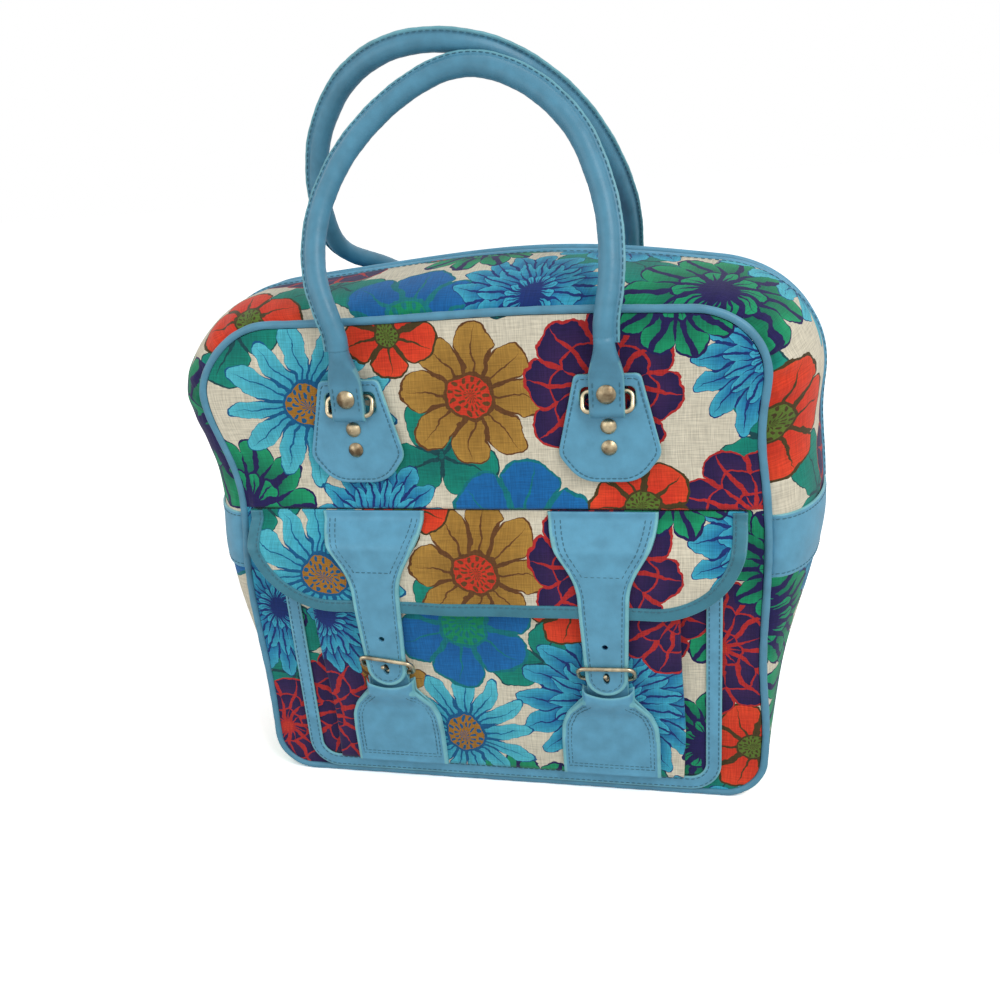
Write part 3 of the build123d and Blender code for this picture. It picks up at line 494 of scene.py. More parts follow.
def finish_piece(piece, material, body, slot_name, *nodes):
    """Gives a piece its material and its body, and hides the CAD nodes that it stands for; slot_name is not
    used.
    """
    piece.data.materials.append(material)
    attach(piece, body)
    if nodes:
        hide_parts(*nodes)
    return piece


def half_profile(y):
    """Right half of the body's outline at depth y, from the bottom's middle to the crown."""
    swell = (1 - (abs(y) / gusset_edge) ** 2.05) ** 0.52 if abs(y) < gusset_edge else 0
    x, z = bag_outline(swell, 0, panel_foot * max(0, 1 - 2 * swell))
    return np.stack([x, np.full_like(x, y), z], 1)


def cut_at(line, height):
    """Where a rising half profile reaches a height: the next point's number, and the place itself."""
    top = np.argmax(line[:, 2] > height)
    share = (height - line[top - 1, 2]) / (line[top, 2] - line[top - 1, 2])
    return top, line[top - 1] + share * (line[top] - line[top - 1])


def cut_low(line, height):
    """The part of a rising half profile below a height, with its last point at that height."""
    top, spot = cut_at(line, height)
    return np.vstack([line[:top], spot])


def cut_high(line, height):
    """The part of a rising half profile above a height, with its first point at that height."""
    top, spot = cut_at(line, height)
    return np.vstack([spot, line[top:]])


def strip_grid(depths, cut, count, joined_at_start):
    """Grid over both halves of the body: each depth's cut profile, mirrored, evenly resampled."""
    columns = []
    for y in depths:
        half = cut(half_profile(y))
        mirror = half[::-1] * (-1, 1, 1)
        whole = np.vstack([mirror[:-1], half]) if joined_at_start else np.vstack([half, mirror[1:]])
        columns.append(resample(whole, count))
    return np.stack(columns, 1)


def pucker(grid):
    """Small gathers where the strip is eased round the corners into the piping, in millimetres."""
    x, y, z = grid[..., 0], grid[..., 1], grid[..., 2]
    near = bell(np.abs(y), gusset_edge, 16)
    corner = bell(np.abs(x), 178, 40) * bell(z, 320, 45)
    angle = np.arctan2(z - 290, np.abs(x) - 130)
    return near * (0.25 + corner) * 1.3 * np.sin(angle * 26 + np.sin(x) * 0.3) + 0.8 * np.sin(
        x / 33 + y / 19) * np.sin(z / 37 - y / 23)


def lay_strip(name, depths, cut, count, joined_at_start, shift):
    """One strip of the body with its thickness turned inwards and its own stretch of the print."""
    grid = strip_grid(depths, cut, count, joined_at_start)
    out_way = normals_of(grid)
    if np.sum(out_way * (grid - (0, 0, 180))) < 0:
        grid = grid[:, ::-1]
        depths = depths[::-1]
        out_way = normals_of(grid)
    lift = ramp(grid[..., 2:3] / 40)
    outer = slump(grid + out_way * pucker(grid)[..., None] * lift)
    run = walk_of(grid[:, grid.shape[1] // 2])
    flat = np.stack(np.meshgrid(run, depths, indexing="ij"), -1) + shift
    return shell(name, outer, outer - out_way * wall, flat)


body_depths = np.sin(np.linspace(-np.pi / 2, np.pi / 2, 61)) * gusset_edge
piece = lay_strip("lower_gusset_cloth", body_depths, lambda line: cut_low(line, zip_end), 270, True, (40, 90))
finish_piece(piece, linen, "bag", "printed_cloth", "lower_gusset")
zip_edge = 13.3
for side, place in ((-1, "front"), (1, "rear")):
    reach = zip_edge + (gusset_edge - zip_edge) * np.sin(np.linspace(0, np.pi / 2, 36))
    piece = lay_strip(place + "_zip_gusset_cloth", side * reach, lambda line: cut_high(line, zip_end),
                      300, False, (150 + 90 * side, 130))
    finish_piece(piece, linen, "bag", "printed_cloth", place + "_zip_gusset")


# Front and back panels: flat printed cloth inside the piping, a little full in the middle.
# The front one is in two parts: the upper part's hem laps over the top of the flap.
seam_z = 219
panel_inset = 2.9
panel_face = 87.5


def off_panel(x, reach, z, side=-1):
    """Points at x and z, a reach off the face of the front panel (-1) or of the back one (1)."""
    return np.stack(np.broadcast_arrays(x, side * (panel_face + reach), z), -1)


def panel_ends(x):
    """Bottom and top height of the panel's outline at x: a straight edge with arcs at the ends."""
    half = panel_half - panel_inset
    foot = foot_radius - panel_inset
    over = np.clip(np.abs(x) - (half - foot), 0, foot)
    low = panel_foot + foot_radius - np.sqrt(foot ** 2 - over ** 2)
    corner = corner_radius - panel_inset
    corner_x = panel_half - corner_radius
    lean = np.radians(panel_lean)
    crown = corner_radius + corner_x / np.sin(lean)
    crown_z = panel_top - crown
    over = np.clip(np.abs(x) - corner_x, 0, corner)
    shoulder = crown_z + (crown - corner_radius) * np.cos(lean)
    arc = shoulder + np.sqrt(corner ** 2 - over ** 2)
    dome = crown_z + np.sqrt((crown - panel_inset) ** 2 - x ** 2)
    return low, np.where(np.abs(x) > corner_x, arc, np.minimum(dome, shoulder + corner + 9))


def fullness(x, z):
    """How far a panel bulges out, in millimetres: soft hills that stay low behind the tabs."""
    edge = ramp((panel_half - np.abs(x)) / 40) * ramp((panel_top - z) / 30)
    hills = 1.2 + 1.3 * np.cos(x / 38) * np.sin(z / 31) + 0.9 * np.sin(x / 17 + z / 29)
    tabs = bell(np.abs(x), 84, 34, 4) * bell(z, 275, 44, 4)
    pocket = bell(x, 0, 160, 12) * bell(z, 100, 125, 12)
    return np.clip(edge * hills * (1 - tabs) * (1 - pocket), 0, 3)


def lay_panel(name, side, low, high, shift):
    """A panel between two heights; its columns end on the outline, its face looks outwards."""
    x = (panel_half - panel_inset) * np.sin(np.linspace(-np.pi / 2, np.pi / 2, 126)) * -side
    bottom, top = panel_ends(x)
    bottom, top = np.clip(bottom, low, high), np.clip(top, low, high)
    share = (1 - np.cos(np.linspace(0, np.pi, 88))) / 2
    z = bottom[:, None] + (top - bottom)[:, None] * share
    wide = np.repeat(x[:, None], len(share), 1)
    hem = 5.4 * ramp((233 - z) / 14) * np.sqrt(ramp((z - low) / 2.5)) if low > 0 else 0
    full = fullness(wide, z) + hem * ramp((panel_half - 5 - np.abs(wide)) / 6)
    outer, inner = slump(off_panel(wide, full, z, side)), slump(off_panel(wide, -wall, z, side))
    return shell(name, outer, inner, np.stack([wide * -side, z], -1) + shift)


finish_piece(lay_panel("front_upper_cloth", -1, seam_z, 400, (190, 20)), linen, "bag",
             "printed_cloth", "front_upper_panel")
finish_piece(lay_panel("front_lower_cloth", -1, 0, seam_z, (120, 200)), linen, "bag",
             "printed_cloth", "front_lower_panel")
finish_piece(lay_panel("back_cloth", 1, 0, 400, (10, 60)), linen, "bag", "printed_cloth", "back_panel")


# Vinyl: thin soft sheet, pale grey-blue, paler mint where it is cut or folded.
# A fine grain and a few slack creases break the light; worn edges are lighter.
graining, given, out = new_group("vinyl_grain", (
    ("Place", "Vector"), ("Face", "Color"), ("Edge", "Color"), ("Rim", "Float")), (
    ("Color", "Color"), ("Height", "Float"), ("Roughness", "Float")))
grain = put(graining, "ShaderNodeTexVoronoi", {"Vector": given["Place"], "Scale": 1100.0})
slack = put(graining, "ShaderNodeTexNoise", {"Vector": given["Place"], "Scale": 38.0, "Detail": 4.0})
stain = put(graining, "ShaderNodeTexNoise", {"Vector": given["Place"], "Scale": 90.0, "Detail": 6.0})
mottle = put(graining, "ShaderNodeMapRange", {
    "Value": stain.outputs[0], "From Min": 0.3, "From Max": 0.7, "To Min": 0.86, "To Max": 1.1}).outputs[0]
face = blend_colour(graining, given["Rim"], given["Face"], given["Edge"])
graining.links.new(dim(graining, face, mottle), out.inputs["Color"])
height = calc(graining, "ADD", calc(graining, "MULTIPLY", slack.outputs[0], 2.2),
              calc(graining, "MULTIPLY", grain.outputs[0], 0.14))
graining.links.new(height, out.inputs["Height"])
dull = put(graining, "ShaderNodeMapRange", {"Value": stain.outputs[0], "To Min": 0.3, "To Max": 0.5})
graining.links.new(dull.outputs[0], out.inputs["Roughness"])


def vinyl(name, face, edge):
    """A vinyl of two colours: the face, and the cut or folded edge given by the rim mask."""
    made, tree, surface = new_material(name)
    place = put(tree, "ShaderNodeTexCoord").outputs["Object"]
    rim = put(tree, "ShaderNodeAttribute", attribute_name="rim").outputs["Fac"]
    skin = put(tree, "ShaderNodeGroup", node_tree=graining)
    tree.links.new(place, skin.inputs["Place"])
    tree.links.new(rim, skin.inputs["Rim"])
    skin.inputs["Face"].default_value = face
    skin.inputs["Edge"].default_value = edge
    relief = put(tree, "ShaderNodeBump", {
        "Height": skin.outputs["Height"], "Strength": 0.35, "Distance": 0.001})
    tree.links.new(skin.outputs["Color"], surface.inputs["Base Color"])
    tree.links.new(skin.outputs["Roughness"], surface.inputs["Roughness"])
    tree.links.new(relief.outputs[0], surface.inputs["Normal"])
    surface.inputs["Specular IOR Level"].default_value = 0.45
    return made


blue_vinyl = vinyl("blue vinyl", srgb(98, 166, 197), srgb(126, 194, 204))
handle_vinyl = vinyl("handle vinyl", srgb(82, 144, 172), srgb(110, 174, 188))
binding_vinyl = vinyl("binding vinyl", srgb(62, 130, 150), srgb(90, 160, 174))
piping_vinyl = vinyl("piping vinyl", srgb(88, 150, 178), srgb(104, 170, 184))


def square_to(ahead, ways):
    """Unit vectors along what is left of ways without their share along ahead."""
    return unit(ways - ahead * np.sum(ways * ahead, 1, keepdims=True))


def steady(vector, line):
    """The same vector for every point of a line."""
    return np.repeat([np.array(vector, float)], len(line), 0)


def quads(index):
    """Four-cornered faces between the neighbours in a grid of point numbers."""
    return np.stack([index[:-1, :-1], index[:-1, 1:], index[1:, 1:], index[1:, :-1]], -1).reshape(-1, 4)


def sweep(name, line, side_way, profile, rim=None, closed=False):
    """Carries a closed profile along a line of points.

    side_way holds a unit vector at each point, square to the line: the profile's first
    coordinate runs along it and its second along the line's direction crossed with it.
    The ends are capped with a fan, or joined when closed.
    """
    ahead = unit(np.roll(line, -1, 0) - np.roll(line, 1, 0) if closed else np.gradient(line, axis=0))
    side_way = square_to(ahead, side_way)
    up_way = np.cross(ahead, side_way)
    if profile.ndim == 2:
        profile = np.repeat(profile[None], len(line), 0)
    rings = line[:, None] + profile[..., :1] * side_way[:, None] + profile[..., 1:] * up_way[:, None]
    count, turns = rings.shape[:2]
    index = np.arange(count * turns).reshape(count, turns)
    index = np.concatenate([index, index[:, :1]], 1)
    if closed:
        index = np.concatenate([index, index[:1]], 0)
    faces = quads(index).tolist()
    if not closed:
        faces += [index[0, :-1][::-1].tolist(), index[-1, :-1].tolist()]
    return add_piece(name, rings, faces, None if rim is None else np.broadcast_to(rim, (count, turns)))


def oval(wide, high, count=20, power=2.0):
    """A closed oval profile; a power above 2 makes it boxier. Columns of numbers give many ovals."""
    turn = np.linspace(0, 2 * np.pi, count, endpoint=False)
    reach = (np.abs(np.cos(turn)) ** power + np.abs(np.sin(turn)) ** power) ** (-1 / power)
    return np.stack([wide * reach * np.cos(turn), high * reach * np.sin(turn)], -1)


# Piping: a cord wrapped in a strip of the vinyl and sewn between panel and gusset.
# It runs right round each panel and follows the way the panel has settled.
piping_line = 86.7
for side, place in ((-1, "front"), (1, "rear")):
    x, z = bag_outline(0, 0, panel_foot, 60)
    half = np.stack([x, np.full_like(x, side * piping_line), z], 1)
    loop = np.vstack([half, half[1:][::-1] * (-1, 1, 1)])
    loop = resample(np.vstack([loop, loop[:1]]), 601)[:-1]
    loop = slump(loop)
    outwards = steady((0, side, 0), loop)
    bumps = 1 + 0.03 * np.sin(np.arange(600) * 0.9) + 0.03 * np.sin(np.arange(600) * 0.37)
    cord = oval(2.6, 2.6, 16)[None] * bumps[:, None, None]
    finish_piece(sweep(place + "_piping_cord", loop, outwards, cord, closed=True), piping_vinyl,
                 "bag", "blue_vinyl", place + "_piping")


# Vinyl bands round both sides, over the ends of the zip, with a stitched row along each edge.
# The same small stitches are used on every vinyl piece.
shaded_stitch_thread, tree, surface = new_material("stitch thread with painted shade")
place = put(tree, "ShaderNodeTexCoord").outputs["Object"]
twist = put(tree, "ShaderNodeTexNoise", {"Vector": place, "Scale": 900.0})
twist = put(tree, "ShaderNodeMapRange", {"Value": twist.outputs[0], "To Min": 0.8, "To Max": 1.15}).outputs[0]
# The thread's own colour is close to the vinyl's blue; it is darkened here as painted shade of the sunken
# stitch holes, and a fine noise varies the twist.
tree.links.new(dim(tree, srgb(66, 116, 134), twist), surface.inputs["Base Color"])
surface.inputs["Roughness"].default_value = 0.6


def set_along(name, line, out_way, shape, faces, pitch):
    """One mesh of many small like shapes set at even steps along a line.

    shape's coordinates run along the line, across it and out from the surface, in millimetres.
    """
    walk = walk_of(line)
    count = max(2, int(walk[-1] / pitch))
    at = (np.arange(count) + 0.5) * walk[-1] / count
    ahead = unit(look_up(at + 0.5, walk, line) - look_up(at - 0.5, walk, line))
    out = square_to(ahead, look_up(at, walk, out_way))
    ways = np.stack([ahead, np.cross(out, ahead), out], 1)
    points = look_up(at, walk, line)[:, None] + shape @ ways
    all_faces = (faces + (np.arange(count) * len(shape))[:, None, None]).reshape(-1, 4)
    return add_piece(name, points, all_faces.tolist())


def little_bar(length, width, height):
    """A small rounded bar: six-sided rings that narrow towards both ends, sunk by a third."""
    turn = np.linspace(0, 2 * np.pi, 6, endpoint=False)
    rings = []
    for at, share in ((-0.5, 0.25), (-0.38, 0.8), (0, 1), (0.38, 0.8), (0.5, 0.25)):
        rings.append(np.stack([np.full(6, at * length), np.cos(turn) * width / 2 * share,
                               np.sin(turn) * height / 2 * share + height * 0.12], 1))
    index = np.arange(30).reshape(5, 6)
    sides = quads(np.concatenate([index, index[:, :1]], 1))
    ends = [[3, 2, 1, 0], [5, 4, 3, 0], [24, 25, 26, 27], [24, 27, 28, 29]]
    return np.concatenate(rings), np.concatenate([sides, ends])


stitch_shape, stitch_faces = little_bar(2.9, 0.75, 0.7)


def stitch(name, line, out_way, body="bag", pitch=4.0):
    """A row of stitches along a line on a surface."""
    row = set_along(name, line, out_way, stitch_shape, stitch_faces, pitch)
    return finish_piece(row, shaded_stitch_thread, body, "blue_vinyl")


def edge_round(distance, thickness, radius):
    """Height of a soft sheet near its edge: a quarter circle of the radius, then flat."""
    near = ramp(distance / radius)
    return thickness * np.sqrt(1 - (1 - near) ** 2)


band_low, band_high, band_thickness = 170, 214, 1.4
for side, place in ((-1, "left"), (1, "right")):
    share = (1 - np.cos(np.linspace(0, np.pi, 30))) / 2
    columns = []
    for y in np.linspace(-gusset_edge, gusset_edge, 70) * side:
        line = cut_high(cut_low(half_profile(y), band_high), band_low)
        columns.append(resample(line, 200)[np.round(share * 199).astype(int)] * (side, 1, 1))
    grid = np.stack(columns, 0)
    out_way = normals_of(grid)
    from_edge = np.minimum(grid[..., 2] - band_low, band_high - grid[..., 2])
    lift = 0.35 + edge_round(from_edge, band_thickness, 1.2) - 0.3 * bell(from_edge, 3.4, 0.8)
    lift += 0.5 * np.sin(grid[..., 1] / 15 + side) * np.sin(grid[..., 2] / 12) * ramp(from_edge / 9)
    outer = slump(grid + out_way * lift[..., None])
    band = shell(place + "_band", outer, slump(grid + out_way * 0.1), rim=from_edge < 1.0)
    finish_piece(band, blue_vinyl, "bag", "blue_vinyl", place + "_side_band")
    for edge, name in ((band_low + 3.4, "low"), (band_high - 3.4, "high")):
        row = np.argmin(np.abs(grid[0, :, 2] - edge))
        stitch(place + "_band_stitches_" + name, outer[:, row] + out_way[:, row] * 0.1, out_way[:, row])


# Zip over the top: two rolled vinyl lips, woven tapes and two rows of teeth that mesh.
# It ends under the side bands. Tapes and teeth are dark; the slider stands at the left end.
def top_line(y, grow, low):
    """Line over the top of the body at depth y, from a height on the left to the right."""
    x, z = bag_outline(1, grow, 0)
    half = cut_high(np.stack([x, np.full_like(x, y), z], 1), low)
    return resample(np.vstack([half * (-1, 1, 1), half[::-1][1:]]), 500)


def outwards_on(line):
    """Unit vectors square to a line over the top, pointing away from the bag."""
    out = unit(np.cross(np.gradient(line, axis=0), (0, 1, 0)))
    return out * np.sign(np.sum(out * (line - (0, 0, 200)), 1, keepdims=True))


tape_cloth, tree, surface = new_material("zip tape")
place = put(tree, "ShaderNodeTexCoord").outputs["Object"]
ribs = put(tree, "ShaderNodeTexWave", {"Vector": place, "Scale": 260.0, "Distortion": 0.6})
tone = blend_colour(tree, ribs.outputs["Fac"], srgb(34, 26, 34), srgb(66, 48, 58))
tree.links.new(tone, surface.inputs["Base Color"])
ribbing = put(tree, "ShaderNodeBump", {"Height": ribs.outputs["Fac"], "Distance": 0.0003})
tree.links.new(ribbing.outputs[0], surface.inputs["Normal"])
surface.inputs["Roughness"].default_value = 0.85

zip_metal, tree, surface = new_material("dark zip metal")
place = put(tree, "ShaderNodeTexCoord").outputs["Object"]
tarnish = put(tree, "ShaderNodeTexNoise", {"Vector": place, "Scale": 160.0, "Detail": 3.0})
tone = blend_colour(tree, tarnish.outputs[0], srgb(50, 46, 48), srgb(124, 118, 112))
tree.links.new(tone, surface.inputs["Base Color"])
surface.inputs["Metallic"].default_value = 0.8
surface.inputs["Roughness"].default_value = 0.4

tooth_shape, tooth_faces = little_bar(1.5, 3.4, 2.2)
rolled, flat = oval(2.5, 2.1, 14), oval(0.4, 7.0, 12, 6)
# Distance from the bag's middle, lift off the cloth and lowest height: lip, tape, teeth, stitches
zip_lines = ((10.8, -1.1, 215), (7.9, -4.4, 196), (1.5, -3.2, 196), (16.5, 0.25, 216))
for side, place in ((-1, "front"), (1, "rear")):
    lip, tape, coil, seam = [slump(top_line(side * y, grow, low)) for y, grow, low in zip_lines]
    finish_piece(sweep(place + "_lip", lip, outwards_on(lip), rolled), blue_vinyl, "bag",
                 "blue_vinyl", place + "_zip_lip")
    finish_piece(sweep(place + "_tape", tape, outwards_on(tape), flat), tape_cloth, "bag",
                 "zip_tape", place + "_zip_tape")
    # The rear row starts half a tooth later, so that the two rows mesh
    start = np.gradient(coil, axis=0) * (side > 0)
    teeth = set_along(place + "_teeth", coil + start, outwards_on(coil), tooth_shape, tooth_faces, 2.6)
    finish_piece(teeth, zip_metal, "bag", "zip_coil", place + "_zip_coil")
    stitch(place + "_lip_stitches", seam, outwards_on(seam), pitch=4.5)


# Metal fittings: plated steel, pale gold where it is clean, greyer and duller where it is worn.
# Rivets have a darker worn tone; the slider and its pull are the CAD's own.
def plated(name, bright, worn, roughness):
    """A thin worn plating: two tones and the roughness set by one fine noise."""
    made, tree, surface = new_material(name)
    place = put(tree, "ShaderNodeTexCoord").outputs["Object"]
    patch = put(tree, "ShaderNodeTexNoise", {"Vector": place, "Scale": 120.0, "Detail": 6.0})
    share = put(tree, "ShaderNodeMapRange", {
        "Value": patch.outputs[0], "From Min": 0.38, "From Max": 0.66}).outputs[0]
    tree.links.new(blend_colour(tree, share, bright, worn), surface.inputs["Base Color"])
    rough = put(tree, "ShaderNodeMapRange", {
        "Value": patch.outputs[0], "To Min": roughness, "To Max": roughness + 0.25})
    tree.links.new(rough.outputs[0], surface.inputs["Roughness"])
    surface.inputs["Metallic"].default_value = 1
    return made


pale_gold = plated("pale gold plating", srgb(226, 208, 174), srgb(150, 138, 116), 0.18)
rivet_gold = plated("rivet plating", srgb(214, 196, 160), srgb(112, 94, 72), 0.24)


def keep_solid(node, material):
    """A CAD node that is shown as it is, in one of the materials here."""
    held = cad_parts[node].data
    held.materials.clear()
    held.materials.append(material)


for node in ("zip_slider", "zip_pull"):
    keep_solid(node, pale_gold)
for node in ("tab_rivets", "front_handle_rivets", "rear_handle_rivets"):
    keep_solid(node, rivet_gold)


# Rings: rectangular wire rings in the windows of the tabs, held by a short vinyl chape.
# The chape goes round the ring's upper bar and is riveted behind the tab.
tab_x = 84
ring_bar_z = 298
ring_bar_out, ring_low_out = 3.2, 8.8
ring_drop = 12.8
ring_low_z = ring_bar_z - math.sqrt(ring_drop ** 2 - (ring_low_out - ring_bar_out) ** 2)


def round_corners(points, radii, closed=True, steps=8):
    """A line of straight runs whose corners are arcs of the given radii, in space."""
    points = np.array(points, float)
    count = len(points)
    made = []
    for i in range(count):
        if not closed and i in (0, count - 1):
            made.append(points[i][None])
            continue
        here, radius = points[i], radii[i]
        back = points[i - 1] - here
        on = points[(i + 1) % count] - here
        back, on = back / np.linalg.norm(back), on / np.linalg.norm(on)
        half = np.arccos(np.clip(back @ on, -1, 1)) / 2
        setback = radius / np.tan(half)
        middle = here + (back + on) / np.linalg.norm(back + on) * radius / np.sin(half)
        first, last = here + back * setback - middle, here + on * setback - middle
        sweep_angle = np.pi - 2 * half
        turn = np.linspace(0, 1, steps)[:, None] * sweep_angle
        made.append(middle + (first * np.sin(sweep_angle - turn) + last * np.sin(turn)) / np.sin(sweep_angle))
    return np.concatenate(made)


def wire_ring(name, middle, up, width, height, wire, corner):
    """A closed rounded rectangle of wire; middle is the middle of its first bar."""
    half = width / 2 - wire
    flat = round_corners([(-half, 0), (half, 0), (half, height), (-half, height)], [corner] * 4)
    flat = resample(np.vstack([flat, flat[:1]]), 121)[:-1]
    up = np.array(up, float) / np.linalg.norm(up)
    line = np.array(middle) + flat[:, :1] * (1, 0, 0) + flat[:, 1:] * up
    facing = steady(np.cross((1, 0, 0), up), line)
    return sweep(name, line, facing, oval(wire, wire, 14), closed=True)


def folded_strip(name, line, width, thickness):
    """A flat strip of soft sheet carried along a line in the plane square to X."""
    turns = oval(width / 2, thickness / 2, 24, 7)
    return sweep(name, line, steady((1, 0, 0), line), turns, rim=np.abs(turns[:, 0]) > width / 2 - 0.5)


tab_places = [(side, place, f"{place}_{hand}", x) for side, place in ((-1, "front"), (1, "rear"))
              for hand, x in (("left", -tab_x), ("right", tab_x))]
ring_width, ring_wire, ring_corner = 34, 1.6, 4
chape_width, chape_thickness, chape_round = 18, 1.0, 2.4
turn = np.radians(np.linspace(200, -20, 20))
for side, place, name, x in tab_places:
    down = (0, side * (ring_low_out - ring_bar_out), ring_low_z - ring_bar_z)
    ring = wire_ring(name + "_wire_ring", (x, side * (panel_face + ring_bar_out), ring_bar_z), down,
                     ring_width, ring_drop, ring_wire, ring_corner)
    finish_piece(ring, pale_gold, place + "_rings", "light_metal", name + "_ring")
    loop = off_panel(x, ring_bar_out - chape_round * np.cos(turn - np.pi),
                     ring_bar_z + chape_round * np.sin(turn), side)
    back = off_panel(x, 0.85, np.array([257, 285]), side)
    front = off_panel(x, 1.95, np.array([285, 257]), side)
    line = resample(np.vstack([back, loop, front]), 90)
    strip = folded_strip(name + "_chape_strip", line, chape_width, chape_thickness)
    finish_piece(strip, blue_vinyl, "bag", "blue_vinyl", name + "_chape")


# Shield tabs: stitched vinyl shields, riveted to the panels, with a window for the ring.
# Each is a grid between the window's edge and the shield's edge, both softly rounded.
tab_back, tab_front = 2.6, 4.6
window_middle = 293.5


def polar(outline, middle, angles):
    """Points of a closed outline in the given directions from a point inside it."""
    off = outline - middle
    facing = np.arctan2(off[:, 1], off[:, 0])
    order = np.argsort(facing)
    reach = np.interp(angles, facing[order], np.linalg.norm(off, axis=1)[order], period=2 * np.pi)
    return middle + reach[:, None] * np.stack([np.cos(angles), np.sin(angles)], 1)


def closed_dense(points, radii, count=800):
    """A closed outline with rounded corners and even, close points."""
    line = round_corners(np.array(points, float), radii)
    return resample(np.vstack([line, line[:1]]), count)[:-1]


shield_points = [(-20.5, 309), (20.5, 309), (33, 257), (19, 238.5), (-19, 238.5), (-33, 257)]
shield_edge = closed_dense(shield_points, [4, 4, 10, 22, 22, 10])
window_edge = closed_dense([(-17, 286.5), (17, 286.5), (17, 301), (-17, 301)], [4, 4, 4, 4])
angles = np.linspace(-np.pi, np.pi, 181)[:-1]
near_edge = np.array([0, 0.12, 0.4, 0.9, 1.6, 2.4, 3.1, 3.8])
outer_line = polar(shield_edge, np.array([0, window_middle]), angles)
inner_line = polar(window_edge, np.array([0, window_middle]), angles)
span = np.linalg.norm(outer_line - inner_line, axis=1)[:, None]
close = np.minimum(near_edge[None], span * near_edge[None] / 9)
middle = np.linspace(0, 1, 12)[None, 1:-1] * (span - 2 * close[:, -1:]) + close[:, -1:]
from_window = np.concatenate([close, middle, span - close[:, ::-1]], 1)
from_outer = span - from_window
from_edge = np.minimum(from_window, from_outer)
spot = inner_line[:, None] + (outer_line - inner_line)[:, None] * (from_window / span)[..., None]
stitch_line = np.array([0, 272]) + (shield_edge - (0, 272)) * (0.905, 0.918)
for side, place, name, x in tab_places:
    lift = edge_round(from_edge, tab_front - tab_back, 1.1) - 0.35 * bell(from_outer, 3.2, 0.7)
    lift += 0.25 * np.sin(spot[..., 0] / 9 + x) * np.sin(spot[..., 1] / 11) * ramp(from_edge / 4)
    outer = off_panel(x + spot[..., 0], tab_back + lift, spot[..., 1], side)
    inner = off_panel(x + spot[..., 0], tab_back, spot[..., 1], side)
    turned = slice(None, None, side)
    tab = shell(name + "_shield", outer[turned], inner[turned], around=True, rim=(from_edge < 0.75)[turned])
    finish_piece(tab, blue_vinyl, "bag", "blue_vinyl", name + "_tab")
    row = off_panel(x + stitch_line[:, 0], tab_front - 0.1, stitch_line[:, 1], side)
    row = np.vstack([row, row[:1]])
    stitch(name + "_shield_stitches", row, steady((0, side, 0), row), pitch=3.6)


# Handles: a vinyl tube sewn over a twine cord, with the seam allowance left as a fin outside.
# Each end is flattened, folded round the ring's lower bar and riveted.
# Both have settled into the lopsided arches of the photo, whose lines were traced through its camera.
handle_radius = 6.5
handle_arches = {
    "front": [(-84, -99.5, 330), (-84, -99.5, 341), (-89, -98, 356), (-96, -91, 374), (-98, -80, 397),
              (-92, -70, 422), (-75, -59, 451), (-42, -48, 479), (-3, -42, 494), (36, -47.5, 481),
              (67, -58, 453), (81, -70, 421), (87, -80, 396), (88, -92, 366), (84, -99.5, 344),
              (84, -99.5, 330)],
    "rear": [(-84, 99.5, 330), (-84, 99.5, 344), (-104, 66, 364), (-123, 27, 378), (-123, 3, 405),
             (-121, -3, 436), (-111, -9, 464), (-83, -24, 494), (-40, -37, 509), (11, -31, 503),
             (47, -12, 480), (71, 13, 449), (86, 46, 409), (88, 75, 376), (84, 99.5, 344),
             (84, 99.5, 330)],
}
foot_start, foot_flat = 330, 307
foot_wide, foot_thick, fold_reach = 11, 2.3, 3.9
handle_steps = 260

cord_fibre, tree, surface = new_material("cord core")
twine = put(tree, "ShaderNodeTexWave", {"Scale": 90.0, "Distortion": 2.0})
tone = blend_colour(tree, twine.outputs["Fac"], srgb(190, 176, 148), srgb(150, 134, 104))
tree.links.new(tone, surface.inputs["Base Color"])


def ease(value):
    """0 to 1, starting and ending gently."""
    share = ramp(value)
    return share * share * (3 - 2 * share)


def handle_section(count=26):
    """Round section with a short flat fin on its outer side, two layers of vinyl thick."""
    turn = np.radians(np.linspace(12, 348, count))
    round_part = handle_radius * np.stack([np.cos(turn), np.sin(turn)], 1)
    fin = [(7.3, -1.15), (9.1, -1.1), (9.5, -0.7), (9.5, 0.7), (9.1, 1.1), (7.3, 1.15)]
    return np.vstack([fin, round_part])


def rounded(points):
    """A smooth line from a few points: every corner is cut at a quarter, five times over."""
    line = np.array(points, float)
    for _ in range(5):
        near = line[:-1] * 0.75 + line[1:] * 0.25
        far = line[:-1] * 0.25 + line[1:] * 0.75
        line = np.vstack([line[:1], np.stack([near, far], 1).reshape(-1, 3), line[-1:]])
    return line


